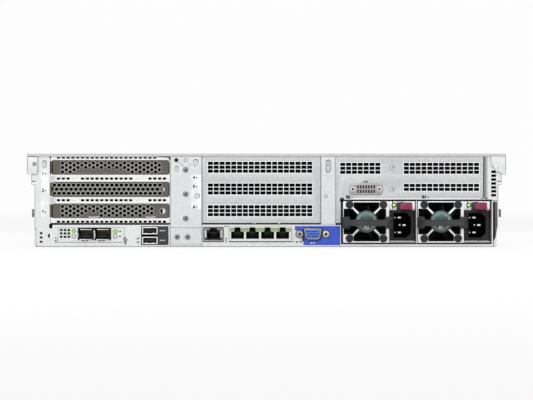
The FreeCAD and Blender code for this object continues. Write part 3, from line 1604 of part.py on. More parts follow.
def build_ear(side, label):
    """A flange with its block, the captive screw behind the latch, and a side plate on the wall."""
    body = new_body(label)
    left = ear_middle(side) - ear_width() / 2
    wall_x = left if side > 0 else left + ear_width() - d.ear_sheet
    wall_z = d.foot_height + 2
    add_box(body, "flange", left, front, d.ear_floor, ear_width(), d.ear_sheet, d.ear_height)
    add_box(body, "side", wall_x, front - d.ear_side_length, wall_z, d.ear_sheet, d.ear_side_length,
            d.step_height - wall_z)
    add_box(body, "block", left, front, d.ear_floor, ear_width(), ear_block_front() - front, d.ear_height)
    inner = ear_width() - 2 * d.ear_block_wall
    pocket_left = left + d.ear_block_wall
    pocket_height = d.ear_latch_height + 2 * d.panel_fit
    cut_box(body, "pocket", pocket_left, front + 2 * d.ear_sheet, d.ear_floor + d.ear_block_wall, inner,
            d.ear_block_depth, pocket_height)
    cut_box(body, "foot_way", pocket_left, ear_pin_y() - d.ear_latch_thickness / 2, 0, inner,
            d.ear_block_depth, d.ear_floor + 2 * d.ear_block_wall)
    cut_rod(body, "pin_hole", left + d.ear_block_wall / 2, ear_pin_y(), ear_pin_z(),
            d.ear_latch_pin + d.panel_fit, ear_width() - d.ear_block_wall, X_AXIS, SMALL_ROUND)
    cut_rod(body, "screw_hole", side * d.ear_screw_pitch / 2, front, d.ear_screw_z, d.ear_hole_radius,
            2 * d.ear_sheet)
    if side < 0:
        add_button_holes(body)
    body.Tip = body.Group[-1]
    return node(body, label)


def add_button_holes(body):
    for name, radius, z in ear_buttons():
        cut_rod(body, name + "_hole", ear_middle(-1), button_back() - d.ear_button_travel - d.ear_button_fit,
                z, radius + d.ear_button_fit, d.ear_block_depth, sides=LARGE_ROUND)


def ear_buttons():
    return (
        ("power_button", d.power_button_radius, d.power_button_z),
        ("uid_button", d.locator_button_radius, d.locator_button_z),
    )


def button_back():
    return ear_block_front() - d.ear_block_depth / 2


def build_ear_buttons():
    for label, radius, z in ear_buttons():
        body = new_body(label)
        add_rod(body, "cap", ear_middle(-1), button_back(), z, radius,
                d.ear_block_depth / 2 + d.ear_button_rise, sides=LARGE_ROUND)
        body.Tip = body.Group[-1]
        node(body, label)


def build_ear_latch(side, label):
    """A flap over the captive screw, turning down on a pin across its foot."""
    body = new_body(label)
    fit = d.panel_fit
    left = ear_middle(side) - ear_width() / 2
    width = ear_width() - 2 * d.ear_block_wall - 2 * fit
    add_box(body, "flap", left + d.ear_block_wall + fit, ear_pin_y() - d.ear_latch_thickness / 2,
            ear_pin_z(), width, d.ear_latch_thickness, d.ear_latch_height - d.ear_latch_thickness / 2 - fit)
    add_rod(body, "foot", left + d.ear_block_wall + fit, ear_pin_y(), ear_pin_z(),
            d.ear_latch_thickness / 2, width, X_AXIS, SMALL_ROUND)
    add_rod(body, "pin", left + d.ear_block_wall / 2 + fit, ear_pin_y(), ear_pin_z(), d.ear_latch_pin,
            ear_width() - d.ear_block_wall - 2 * fit, X_AXIS)
    body.Tip = body.Group[-1]
    return node(body, label)


def build_enclosure():
    build_base_pan()
    build_rear_panel()
    build_top_cover()
    build_cover_latch()
    build_front_top_panel()
    build_rail_studs()
    build_riser_blank()
    build_upper_vent_panel()
    build_serial_port_cover()
    build_rear_pillars()
    build_panel_screws()


def build_rear_parts():
    build_riser_cage()
    build_round_hole_cover(2, "slot_cover_1")
    build_oval_hole_cover(1, "slot_cover_2")
    build_round_hole_cover(0, "slot_cover_3")
    build_riser_board()
    build_lan_jacks()
    build_usb_stack()
    build_network_card_plate()
    build_sfp_cages()
    build_vga_connector()
    build_psu_cage()
    for number in (1, 2):
        build_psu_case(number)
        build_psu_handle(number)
        build_psu_inlet(number)
        build_psu_latch(number)
        build_psu_fan_rotor(number)


def build_inside():
    build_fan_cage()
    build_fan_housings()
    for index in range(1, int(d.fan_count.number) + 1):
        build_fan_rotor(index)
    build_system_board()
    build_cpu_heatsinks()
    build_memory_sockets()
    build_memory_modules()


def build_front_parts():
    build_drive_cage()
    build_drive_backplane()
    build_drive_blanks()
    build_bay_blanks()
    for number in (1, 2):
        build_drive_carrier(number)
        build_drive_lever(number)
        build_drive_button(number)
    build_ear(1, "left_ear")
    build_ear(-1, "right_ear")
    build_ear_buttons()
    build_ear_latch(1, "left_ear_latch")
    build_ear_latch(-1, "right_ear_latch")


def check_objects():
    for item in doc.Objects:
        if {"Invalid", "Error"} & set(item.State):
            raise RuntimeError("%s did not build: %s" % (item.Name, item.State))
        shape = getattr(item, "Shape", None)
        if shape is not None and not shape.isNull() and not shape.isValid():
            raise RuntimeError("%s has an invalid shape" % item.Name)
    for item in nodes:
        if item.Shape.isNull() or not item.Shape.Solids:
            raise RuntimeError("%s is empty" % item.Label)


def export_nodes():
    os.makedirs("parts", exist_ok=True)
    for item in nodes:
        item.Shape.exportStep("parts/%s.step" % item.Label)


def main():
    build_enclosure()
    build_rear_parts()
    build_inside()
    build_front_parts()
    doc.recompute()
    check_objects()
    export_nodes()


main()
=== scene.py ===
"""The looks of the two-unit rack server: sheet metal, ports, labels, power supplies, insides and front.
Pieces are laid out in millimetres in the model's own frame: X to the right of the rear view, +Z up, and the
rear face at the lowest Y. They become metres when they are handed to the frame."""

import math
import random

import bmesh
import bpy
from mathutils import Matrix, Vector


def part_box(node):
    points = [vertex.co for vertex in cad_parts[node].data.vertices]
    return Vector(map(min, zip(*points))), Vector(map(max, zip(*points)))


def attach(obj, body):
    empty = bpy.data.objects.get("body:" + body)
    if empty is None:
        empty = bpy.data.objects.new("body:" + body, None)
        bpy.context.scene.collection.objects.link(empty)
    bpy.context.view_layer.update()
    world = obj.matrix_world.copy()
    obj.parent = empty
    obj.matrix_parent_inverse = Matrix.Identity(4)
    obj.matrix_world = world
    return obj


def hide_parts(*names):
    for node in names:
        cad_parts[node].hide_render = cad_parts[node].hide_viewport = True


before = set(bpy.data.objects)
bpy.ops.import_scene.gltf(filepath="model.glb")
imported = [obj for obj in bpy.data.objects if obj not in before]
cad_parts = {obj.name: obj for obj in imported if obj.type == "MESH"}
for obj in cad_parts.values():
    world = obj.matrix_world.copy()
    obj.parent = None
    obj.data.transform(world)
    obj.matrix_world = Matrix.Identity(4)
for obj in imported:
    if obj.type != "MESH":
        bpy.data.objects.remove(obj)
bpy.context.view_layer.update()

MM = 0.001
PHOTO = (533, 400)
random.seed(7)


def edges(node):
    """A CAD node's lowest and highest corner, in millimetres."""
    low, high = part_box(node)
    return low / MM, high / MM


PANEL = edges("rear_panel")[0].y
FRONT = edges("drive_cage")[1].y


# Materials


class Look:
    """A procedural material, built up from layers over the row's own coordinates."""

    def __init__(self, name, color, metallic=0.0, roughness=0.5):
        self.material = bpy.data.materials.new(name)
        self.material.use_nodes = True
        self.tree = self.material.node_tree
        self.shader = self.tree.nodes["Principled BSDF"]
        self.place = self.tree.nodes.new("ShaderNodeTexCoord")
        self.put("Base Color", (*color, 1.0))
        self.put("Metallic", metallic)
        self.put("Roughness", roughness)
        self.color = color
        self.roughness = roughness
        self.height = None

    def put(self, name, value):
        self.shader.inputs[name].default_value = value

    def join(self, out, into):
        self.tree.links.new(out, into)

    def pattern(self, kind, size, stretch):
        """A texture whose features are about this many millimetres across."""
        mapping = self.tree.nodes.new("ShaderNodeMapping")
        mapping.inputs["Scale"].default_value = [axis / (size * MM) for axis in stretch]
        texture = self.tree.nodes.new(kind)
        texture.inputs["Scale"].default_value = 1.0
        self.join(self.place.outputs["Object"], mapping.inputs["Vector"])
        self.join(mapping.outputs["Vector"], texture.inputs["Vector"])
        return texture

    def noise(self, size, detail=3.0, stretch=(1, 1, 1)):
        texture = self.pattern("ShaderNodeTexNoise", size, stretch)
        texture.inputs["Detail"].default_value = detail
        return texture.outputs["Fac"]

    def cells(self, size, stretch=(1, 1, 1)):
        """Crystal-like patches, each with its own value."""
        patches = self.pattern("ShaderNodeTexVoronoi", size, stretch)
        grey = self.tree.nodes.new("ShaderNodeRGBToBW")
        self.join(patches.outputs["Color"], grey.inputs["Color"])
        return grey.outputs["Val"]

    def blend(self, first, second):
        """The mean of two values."""
        mean = self.tree.nodes.new("ShaderNodeMix")
        self.join(first, mean.inputs["A"])
        self.join(second, mean.inputs["B"])
        return mean.outputs["Result"]

    def remap(self, value, low, high, start=0.35, end=0.65):
        ramp = self.tree.nodes.new("ShaderNodeMapRange")
        for name, number in (("From Min", start), ("From Max", end), ("To Min", low), ("To Max", high)):
            ramp.inputs[name].default_value = number
        self.join(value, ramp.inputs["Value"])
        return ramp.outputs["Result"]

    def tint(self, value, darker, lighter):
        """Varies the colour between two multiples of itself."""
        mix = self.tree.nodes.new("ShaderNodeMix")
        mix.data_type = "RGBA"
        mix.inputs["A"].default_value = (*[min(1, c * darker) for c in self.color], 1)
        mix.inputs["B"].default_value = (*[min(1, c * lighter) for c in self.color], 1)
        self.join(self.remap(value, 0, 1), mix.inputs["Factor"])
        self.join(mix.outputs["Result"], self.shader.inputs["Base Color"])
        return self

    def gloss(self, value, spread):
        low = self.roughness - spread
        self.join(self.remap(value, low, self.roughness + spread), self.shader.inputs["Roughness"])
        return self

    def bump(self, value, strength, depth=0.05):
        bump = self.tree.nodes.new("ShaderNodeBump")
        bump.inputs["Strength"].default_value = strength
        bump.inputs["Distance"].default_value = depth * MM
        self.join(value, bump.inputs["Height"])
        if self.height:
            self.join(self.height, bump.inputs["Normal"])
        self.height = bump.outputs["Normal"]
        self.join(self.height, self.shader.inputs["Normal"])
        return self

    def glow(self, color, strength):
        self.put("Emission Color", (*color, 1))
        self.put("Emission Strength", strength)
        return self


def sheet_metal(name, color, grain=0.9, roughness=0.42, metallic=0.35):
    """Plated sheet: faint crystal patches over slow clouds, a fine grain and soft smudges in the gloss."""
    look = Look(name, color, metallic, roughness)
    look.tint(look.blend(look.cells(2.2 * grain), look.noise(55, 1)), 0.95, 1.045)
    look.gloss(look.noise(26, 4), 0.05)
    look.bump(look.noise(0.45 * grain, 2), 0.22, 0.03)
    look.bump(look.noise(1.6 * grain, 3), 0.10, 0.05)
    return look


def brushed(name, color, along=(0.04, 1, 1), roughness=0.34, metallic=0.8):
    """Metal with fine lines along one axis."""
    look = Look(name, color, metallic, roughness)
    lines = look.noise(0.35, 3, along)
    look.tint(lines, 0.88, 1.08)
    look.gloss(lines, 0.1)
    look.bump(lines, 0.25, 0.02)
    return look


def moulded(name, color, roughness=0.5, grain=0.35, shine=0.5):
    """Moulded plastic with a fine spark-eroded grain."""
    look = Look(name, color, 0.0, roughness)
    look.put("Specular IOR Level", shine)
    look.tint(look.noise(7, 4), 0.86, 1.12)
    look.gloss(look.noise(3.2, 3), 0.08)
    look.bump(look.noise(grain, 2), 0.35, 0.04)
    return look


def circuit_board(name, color):
    """Solder mask over copper: long straight tracks show as faint ridges."""
    look = Look(name, color, 0.0, 0.3)
    tracks = look.cells(2.6, (1, 0.12, 1))
    look.tint(tracks, 0.7, 1.35)
    look.gloss(look.noise(4, 2), 0.08)
    look.bump(tracks, 0.3, 0.03)
    look.bump(look.cells(1.1), 0.12, 0.02)
    return look


def make_looks():
    looks = {
        "zinc": sheet_metal("zinc_sheet_finish", (0.645, 0.66, 0.67)),
        "vented": sheet_metal("vented_sheet_finish", (0.54, 0.553, 0.562), 0.9, 0.4, 0.45),
        "pale": sheet_metal("pale_sheet_finish", (0.705, 0.712, 0.715), 0.8, 0.46, 0.25),
        "cover": sheet_metal("cover_sheet_finish", (0.53, 0.54, 0.545), 1.2, 0.62, 0.15),
        "cage": sheet_metal("cage_sheet_finish", (0.775, 0.78, 0.782), 0.8, 0.46, 0.2),
        # Pale parts such as trims, guards, posts and shells have this colour as their own; on embossed rims,
        # rivets, fold edges and the bars between slots it is a painted highlight.
        "bright": sheet_metal("pale_part_and_painted_highlight_finish", (0.86, 0.865, 0.87), 0.8, 0.4, 0.1),
        "groove": sheet_metal("shaded_groove_finish", (0.19, 0.195, 0.2), 0.8, 0.5, 0.2),
        "slot": brushed("slot_cover_finish", (0.105, 0.097, 0.087), (0.05, 1, 1), 0.42, 0.45),
        # Paler rims round the slot covers' holes: a painted highlight.
        "web": brushed("painted_hole_rim_highlight", (0.40, 0.392, 0.378), (0.05, 1, 1), 0.4, 0.5),
        "slot_rim": brushed("slot_rim_finish", (0.27, 0.262, 0.25), (0.05, 1, 1), 0.4, 0.6),
        "serial": brushed("serial_cover_finish", (0.36, 0.355, 0.345), (0.05, 1, 1), 0.4, 0.7),
        "fastener": brushed("fastener_finish", (0.52, 0.52, 0.51), (1, 0.08, 1), 0.3, 0.9),
        "shell": brushed("socket_shell_finish", (0.56, 0.56, 0.55), (1, 0.06, 1), 0.28, 0.85),
        "bronze": brushed("optical_cage_finish", (0.16, 0.135, 0.10), (1, 0.08, 1), 0.33, 0.7),
        "black": moulded("black_moulding", (0.010, 0.010, 0.011), 0.42, 0.35, 0.3),
        "socket": moulded("socket_moulding", (0.016, 0.016, 0.017), 0.5, 0.35, 0.3),
        "nylon": moulded("nylon_strap_finish", (0.042, 0.042, 0.044), 0.55, 0.5, 0.3),
        "inlet": moulded("inlet_moulding", (0.014, 0.014, 0.015), 0.55, 0.3, 0.25),
        "knob": moulded("rubber_knob_finish", (0.027, 0.027, 0.030), 0.75, 0.25, 0.25),
        "pit": moulded("shadowed_moulding", (0.003, 0.003, 0.0033), 0.85, 0.5, 0.05),
        "fan": moulded("fan_moulding", (0.012, 0.012, 0.013), 0.4, 0.5, 0.35),
        "maroon": moulded("maroon_touch_point", (0.27, 0.010, 0.060), 0.4, 0.4),
        "blue": moulded("blue_label_plate", (0.030, 0.085, 0.56), 0.38, 0.3),
        "blue_core": moulded("blue_socket_core", (0.075, 0.19, 0.66), 0.5, 0.3),
        "teal": moulded("teal_hub_disc", (0.088, 0.17, 0.15), 0.5, 0.3),
        "teal_dark": moulded("teal_shaded_band", (0.028, 0.045, 0.042), 0.5, 0.3, 0.3),
        "teal_rim": moulded("teal_rim_finish", (0.055, 0.095, 0.088), 0.5, 0.3),
        # Olive for the painted shade along the top of the jacks' light bars.
        "olive": moulded("light_pipe_painted_shade", (0.15, 0.18, 0.11), 0.5, 0.3),
        "green_rim": moulded("dark_green_rim", (0.012, 0.045, 0.012), 0.4, 0.3),
        "brass": brushed("brass_finish", (0.52, 0.47, 0.36), (1, 0.1, 1), 0.28, 0.9),
        "ear": moulded("ear_moulding", (0.028, 0.028, 0.030), 0.52, 0.4),
        "carrier": moulded("carrier_moulding", (0.045, 0.045, 0.048), 0.5, 0.4),
        "paper": moulded("label_paper", (0.86, 0.87, 0.88), 0.6, 0.2),
        "cap": moulded("button_cap_finish", (0.5, 0.51, 0.52), 0.3, 0.3),
        "ink": moulded("label_ink", (0.02, 0.02, 0.024), 0.6, 0.2, 0.15),
        "grey_plate": moulded("dark_label_plate", (0.040, 0.040, 0.043), 0.5, 0.3, 0.25),
        "board": circuit_board("board_mask", (0.012, 0.085, 0.045)),
        "memory": circuit_board("memory_mask", (0.015, 0.11, 0.06)),
        "chip": moulded("chip_moulding", (0.018, 0.018, 0.02), 0.38, 0.3),
        "sink": brushed("heat_sink_finish", (0.72, 0.73, 0.74), (1, 0.05, 1), 0.3, 0.9),
        "pale_plastic": moulded("pale_moulding", (0.62, 0.63, 0.62), 0.45, 0.3),
    }
    looks["lime"] = Look("lit_lens", (0.20, 0.62, 0.04), 0, 0.25).glow((0.28, 0.85, 0.06), 0.3)
    looks["green_bar"] = Look("light_pipe", (0.25, 0.37, 0.13), 0, 0.35).glow((0.4, 0.7, 0.2), 0.04)
    looks["link"] = Look("link_lens", (0.30, 0.58, 0.13), 0, 0.3).glow((0.45, 0.9, 0.2), 0.16)
    looks["lime_core"] = Look("lit_lens_core", (0.72, 0.9, 0.5), 0, 0.25).glow((0.75, 1.0, 0.5), 0.35)
    for name in ("lime", "lime_core", "link", "green_bar"):
        looks[name].tint(looks[name].noise(1.2, 2), 0.85, 1.12)
        looks[name].bump(looks[name].noise(0.8, 2), 0.2, 0.03)
    return {name: look.material for name, look in looks.items()}


LOOKS = make_looks()


# The material slot listed for each look; finish looks it up but does not give it to the piece
USUAL_LOOKS = {
    "black_plastic": "black pit",
    "button_grey": "green_bar lime",
    "carrier_grey": "carrier",
    "maroon_plastic": "maroon",
    "socket_metal": "bronze shell",
    "stainless_cover": "slot",
    "steel_fastener": "fastener",
    "zinc_sheet": "bright serial vented",
}
USUAL_SLOTS = {look: slot for slot, looks in USUAL_LOOKS.items() for look in looks.split()}


# Building solids


UPRIGHT = Matrix.Rotation(math.pi / 2, 4, "X")


def solid_of(curve):
    """The solid that a filled curve or a text makes."""
    holder = bpy.data.objects.new("outline", curve)
    bpy.context.scene.collection.objects.link(holder)
    bpy.context.view_layer.update()
    mesh = bpy.data.meshes.new_from_object(holder.evaluated_get(bpy.context.evaluated_depsgraph_get()))
    bpy.data.objects.remove(holder)
    bpy.data.curves.remove(curve)
    part = bmesh.new()
    part.from_mesh(mesh)
    bpy.data.meshes.remove(mesh)
    return part


class Kit:
    """Collects solids of one material, in millimetres, into one piece."""

    def __init__(self):
        self.mesh = bmesh.new()

    def take(self, other):
        mesh = bpy.data.meshes.new("part")
        other.to_mesh(mesh)
        other.free()
        self.mesh.from_mesh(mesh)
        bpy.data.meshes.remove(mesh)
        return self

    def block(self, low, high, bevel=0.0, turn=None):
        """A box with rounded edges. A turn goes about its own centre."""
        low, high = Vector(low), Vector(high)
        part = bmesh.new()
        bmesh.ops.create_cube(part, size=1.0)
        bmesh.ops.scale(part, vec=high - low, verts=part.verts)
        if bevel:
            bmesh.ops.bevel(part, geom=part.edges[:], offset=bevel, segments=2, profile=0.5,
                            affect="EDGES", clamp_overlap=True)
        if turn:
            bmesh.ops.transform(part, matrix=turn.to_4x4(), verts=part.verts)
        bmesh.ops.translate(part, vec=(low + high) / 2, verts=part.verts)
        return self.take(part)

    def lathe(self, profile, centre, axis="Y", steps=32):
        """Turns (radius, distance) points about an axis through the centre. Closed if its ends meet."""
        part = bmesh.new()
        rings = []
        for radius, along in profile:
            ring = []
            for step in range(steps):
                angle = 2 * math.pi * step / steps
                spot = Vector((radius * math.cos(angle), radius * math.sin(angle), along))
                ring.append(part.verts.new(spot))
            rings.append(ring)
        for first, second in zip(rings, rings[1:]):
            for step in range(steps):
                following = (step + 1) % steps
                part.faces.new((first[step], first[following], second[following], second[step]))
        if profile[0] != profile[-1]:
            part.faces.new(rings[0][::-1])
            part.faces.new(rings[-1])
        bmesh.ops.remove_doubles(part, verts=part.verts, dist=1e-4)
        if axis == "Y":
            bmesh.ops.transform(part, matrix=UPRIGHT, verts=part.verts)
        bmesh.ops.translate(part, vec=centre, verts=part.verts)
        bmesh.ops.recalc_face_normals(part, faces=part.faces)
        return self.take(part)

    def stud(self, centre, radius, rise, steps=28):
        """A round head standing out of the rear face."""
        bevel = min(0.25, rise / 2, radius / 2)
        profile = [(0.01, 0), (radius, 0), (radius, rise - bevel), (radius - bevel * 0.3, rise - bevel * 0.3),
                   (radius - bevel, rise), (0.01, rise)]
        return self.lathe(profile, centre, steps=steps)

    def ring(self, centre, outer, inner, rise, bevel=0.2, steps=28):
        """A flat ring standing out of the rear face."""
        profile = [(inner, 0), (outer, 0), (outer, rise - bevel), (outer - bevel, rise),
                   (inner + bevel, rise), (inner, rise - bevel), (inner, 0)]
        return self.lathe(profile, centre, steps=steps)

    def plate(self, loops, back, front, bevel=0.12, plane="XZ"):
        """A flat sheet from closed outlines; the first is its edge and the others are holes.
        back and front are the two faces' places along the plane's normal, front the lower one in XZ."""
        depth = abs(back - front)
        bevel = min(bevel, depth / 3)
        curve = bpy.data.curves.new("outline", "CURVE")
        curve.dimensions = "2D"
        curve.fill_mode = "BOTH"
        curve.extrude = depth / 2 - bevel
        curve.bevel_depth = bevel
        curve.bevel_resolution = 1
        curve.offset = -bevel
        for index, loop in enumerate(loops):
            area = sum(a[0] * b[1] - b[0] * a[1] for a, b in zip(loop, loop[1:] + loop[:1]))
            if (area > 0) == (index > 0):
                loop = loop[::-1]
            spline = curve.splines.new("POLY")
            spline.points.add(len(loop) - 1)
            for point, (x, y) in zip(spline.points, loop):
                point.co = (x, y, 0, 1)
            spline.use_cyclic_u = True
        part = solid_of(curve)
        bmesh.ops.remove_doubles(part, verts=part.verts, dist=1e-4)
        if plane == "XZ":
            bmesh.ops.transform(part, matrix=UPRIGHT, verts=part.verts)
            bmesh.ops.translate(part, vec=(0, (back + front) / 2, 0), verts=part.verts)
        else:
            bmesh.ops.translate(part, vec=(0, 0, (back + front) / 2), verts=part.verts)
        return self.take(part)

    def mark(self, loops, face, rise=0.06):
        """A thin mark on a face, printed or shaded, from its outline and the outlines of its holes."""
        return self.plate(loops, face, face - rise, 0.01)

    def bars(self, face, rise, *spans):
        """Flat bars on a face, each from its left, low, right and high edge."""
        for left, low, right, high in spans:
            self.block((left, face - rise, low), (right, face, high))
        return self

    def text(self, words, x, z, size, front, depth=0.08, bold=0.0):
        """Plain numerals centred on a spot of the rear face."""
        curve = bpy.data.curves.new("words", "FONT")
        curve.body = words
        curve.size = size
        curve.align_x = "CENTER"
        curve.align_y = "CENTER"
        curve.extrude = depth / 2
        curve.offset = bold
        part = solid_of(curve)
        bmesh.ops.transform(part, matrix=UPRIGHT, verts=part.verts)
        bmesh.ops.translate(part, vec=(x, front - depth / 2, z), verts=part.verts)
        return self.take(part)

    def array(self, count, step):
        part = bmesh.new()
        for index in range(count):
            copy = self.mesh.copy()
            bmesh.ops.translate(copy, vec=Vector(step) * index, verts=copy.verts)
            mesh = bpy.data.meshes.new("part")
            copy.to_mesh(mesh)
            copy.free()
            part.from_mesh(mesh)
            bpy.data.meshes.remove(mesh)
        self.mesh.free()
        self.mesh = part
        return self

    def move(self, offset):
        bmesh.ops.translate(self.mesh, vec=offset, verts=self.mesh.verts)
        return self

    def finish(self, name, look, body="chassis", slot=None, replaces=(), smooth=35):
        """Hands the piece over: in metres, riding on its body, with its finish."""
        bmesh.ops.scale(self.mesh, vec=(MM, MM, MM), verts=self.mesh.verts)
        mesh = bpy.data.meshes.new(name)
        self.mesh.to_mesh(mesh)
        self.mesh.free()
        mesh.shade_smooth()
        mesh.set_sharp_from_angle(angle=math.radians(smooth))
        mesh.materials.append(LOOKS[look])
        piece = bpy.data.objects.new(name, mesh)
        bpy.context.scene.collection.objects.link(piece)
        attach(piece, body)
        if replaces:
            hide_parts(*replaces)
        slot = slot or USUAL_SLOTS.get(look)
        return piece

    def fit(self, supply, name, look, slot=None, **more):
        """Moves a supply's piece from the corner it was laid out from to its place, and hands it over."""
        body, corner = supply
        return self.move(corner).finish("%s_%s" % (body, name), look, body, slot, **more)


def circle(x, y, radius, steps=16):
    return [(x + radius * math.cos(2 * math.pi * i / steps), y + radius * math.sin(2 * math.pi * i / steps))
            for i in range(steps)]


def rectangle(left, low, right, high, radius=0.0, steps=3):
    """A rectangle with round corners, anticlockwise."""
    if not radius:
        return [(left, low), (right, low), (right, high), (left, high)]
    corners = ((right - radius, low + radius, -90), (right - radius, high - radius, 0),
               (left + radius, high - radius, 90), (left + radius, low + radius, 180))
    points = []
    for x, y, start in corners:
        for step in range(steps + 1):
            angle = math.radians(start + 90 * step / steps)
            points.append((x + radius * math.cos(angle), y + radius * math.sin(angle)))
    return points


def centred(x, y, across, up, radius=0.0, steps=3):
    """A rectangle about its centre, from half its width and half its height."""
    return rectangle(x - across, y - up, x + across, y + up, radius, steps)


def pill(x, y, width, height):
    """An upright or level slot with round ends."""
    return rectangle(x - width / 2, y - height / 2, x + width / 2, y + height / 2,
                     min(width, height) / 2 - 0.01, 6)


# The rear face


# How thick the rear sheets are, and how far a drawn line stands out of them
SHEET = 0.8
LINE = 0.05
SLOT_ROWS = (33.7, 54.02, 74.34)
DASH_FIRST = -194.4
DASH_PITCH = 4.5
DASH_WIDTH, DASH_HEIGHT = 3.1, 2.1


def dash_row(z, columns):
    """The cage's dash-shaped vents at one height."""
    return [centred(DASH_FIRST + DASH_PITCH * column, z, DASH_WIDTH / 2, DASH_HEIGHT / 2, 0.4, 2)
            for column in columns]


def riser_cage():
    """The cage's face with its three windows and rows of dash-shaped vents, and its walls behind."""
    low, high = edges("riser_cage")
    broken = [*range(0, 3), *range(5, 16), *range(19, 23)]
    loops = [rectangle(low.x, low.z, high.x, high.z, 0.6)]
    for z in SLOT_ROWS:
        drop = 7.35 if z == SLOT_ROWS[1] else 6.9
        loops.append(rectangle(low.x + 0.7, z - drop, high.x - 0.5, z + 6.9, 2.0))
    for z, columns in ((83.45, range(21)), (63.9, broken), (43.7, broken), (23.6, range(23))):
        loops += dash_row(z, columns)
    kit = Kit().plate(loops, low.y + SHEET, low.y, 0.15)
    kit.block((low.x, low.y + SHEET, high.z - SHEET), high)
    kit.block((low.x, low.y + SHEET, low.z), (low.x + 0.6, high.y, high.z - SHEET))
    kit.block((high.x - 0.4, low.y + SHEET, low.z), (high.x, high.y, high.z - SHEET))
    kit.finish("riser_cage_sheet", "cage", slot="zinc_sheet", replaces=["riser_cage"])
    roof_detail(low, high)
    cage_shading(low.y)


def cage_shading(face):
    """Painted shadows in the gaps at the cage's upper corners and along the windows' left edges, faint marks
    between its vents, and the shaded ends of its slots.
    """
    # Painted shadow: black marks in the gaps at the cage's two upper corners.
    right_gap = [(-102.2, 84.7), (-90.2, 84.7), (-90.2, 81.4), (-91.0, 81.4), (-91.4, 83.5), (-102.2, 84.1)]
    left_gap = [(-203.3, 84.6), (-200.9, 84.2), (-201.4, 83.0), (-202.4, 82.8)]
    shade = Kit().mark([right_gap], face, LINE).mark([left_gap], face, LINE)
    shade.finish("cage_corner_painted_shadows", "pit")
    faint = Kit()
    for x in (-181.0, -178.4, -121.0, -118.4):
        for z in (63.9, 43.7):
            faint.bars(face, 0.04, (x - 0.8, z - 0.45, x + 0.8, z + 0.45))
    faint.finish("cage_faint_marks", "cover", slot="zinc_sheet")
    # Painted shade at the windows' left ends: a black line along each edge, then two steps of shade between
    # the windows; the tips are the covers' own colour.
    ends, tips, shadows = Kit(), Kit(), Kit()
    start = -202.5
    for z, line in zip(SLOT_ROWS, (0.4, 0.4, 0.8)):
        ends.bars(face, 0.03, (start, z - 5.9, start + line, z + 5.9))
        tips.bars(face, 0.03, (start + line, z - 6.1, -200.9, z + 6.1))
    for index, (z, above) in enumerate(zip(SLOT_ROWS, SLOT_ROWS[1:])):
        shadows.bars(face, 0.03, (-202.4, z + 7.4, -198.6, above - 7.7))
        pale = Kit().bars(face, 0.03, (-198.6, z + 7.4, -196.4, above - 7.7))
        pale.finish("cage_pale_shade_%d" % (index + 1), "zinc", slot="zinc_sheet")
    ends.finish("slot_end_painted_shadows", "pit")
    tips.finish("slot_end_tips", "slot")
    shadows.finish("cage_shaded_ends", "vented")


def roof_detail(low, high):
    """Vents, screws and a coloured touch point on the roof of the riser cage."""
    vents, heads, touch = Kit(), Kit(), Kit()
    centre = Vector(((low.x + high.x) / 2, (low.y + high.y) / 2))
    for row in range(5):
        for column in range(12):
            x = centre.x - 44 + 8 * column
            y = low.y + 16 + 7 * row
            vents.plate([pill(x, y, 5.6, 3.2)], high.z - 0.02, high.z + 0.02, 0.005, "XY")
    for x in (low.x + 7, high.x - 7):
        for y in (low.y + 7, high.y - 7):
            heads.lathe([(0.01, 0), (2.6, 0), (2.3, 0.25), (0.01, 0.3)], (x, y, high.z), "Z", 20)
    touch.lathe([(0.01, 0), (6.0, 0), (6.0, 0.2), (5.4, 0.35), (0.01, 0.35)],
                (centre.x, high.y - 22, high.z), "Z", 32)
    vents.finish("riser_roof_vents", "black")
    heads.finish("riser_roof_screws", "fastener")
    touch.finish("riser_touch_point", "maroon")


def cover_sheet(node, loops):
    """A slot cover's face from its outline and holes, with its folded foot, paler hole rims as a painted
    highlight and a black backing behind as painted shade.
    """
    low, high = edges(node)
    outline = rectangle(low.x + 0.7, low.z + 0.15, high.x, high.z - 0.15, 1.6)
    kit = Kit().plate([outline, *loops], low.y + 0.9, low.y, 0.1)
    kit.block((low.x + 0.7, low.y + 0.9, low.z), (high.x, high.y, low.z + 0.9))
    kit.finish(node + "_sheet", "slot", replaces=[node])
    # Painted highlight: a ring round each hole, paler than the cover's own colour.
    rims = Kit()
    for loop in loops:
        middle = sum((Vector(point) for point in loop), Vector((0, 0))) / len(loop)
        wider = [tuple(middle + (Vector(point) - middle) * 1.24) for point in loop]
        rims.plate([wider, loop], low.y, low.y - 0.05, 0.015)
    rims.finish(node + "_rims", "web", slot="stainless_cover")
    # Painted shade: a black sheet behind the holes, where the dark inside shows through.
    shade_backing = Kit()
    shade_backing.block((low.x + 1.5, low.y + 4.0, low.z + 1.6), (high.x - 1.5, low.y + 4.3, high.z - 0.8))
    shade_backing.finish(node + "_screen", "pit")


def round_holes(node, missing, small):
    """Five staggered rows of round holes, without those missing and with some half hidden ones."""
    low, high = edges(node)
    middle = (low.z + high.z) / 2
    loops = []
    for row in range(5):
        for column in range(13):
            if (row, column) in missing:
                continue
            radius = 0.85 if (row, column) in small else 1.66
            x = -190.7 + 7.25 * (column + 0.5 * (row % 2))
            loops.append(circle(x, middle + 2.1 * (2 - row), radius, 12))
    return loops


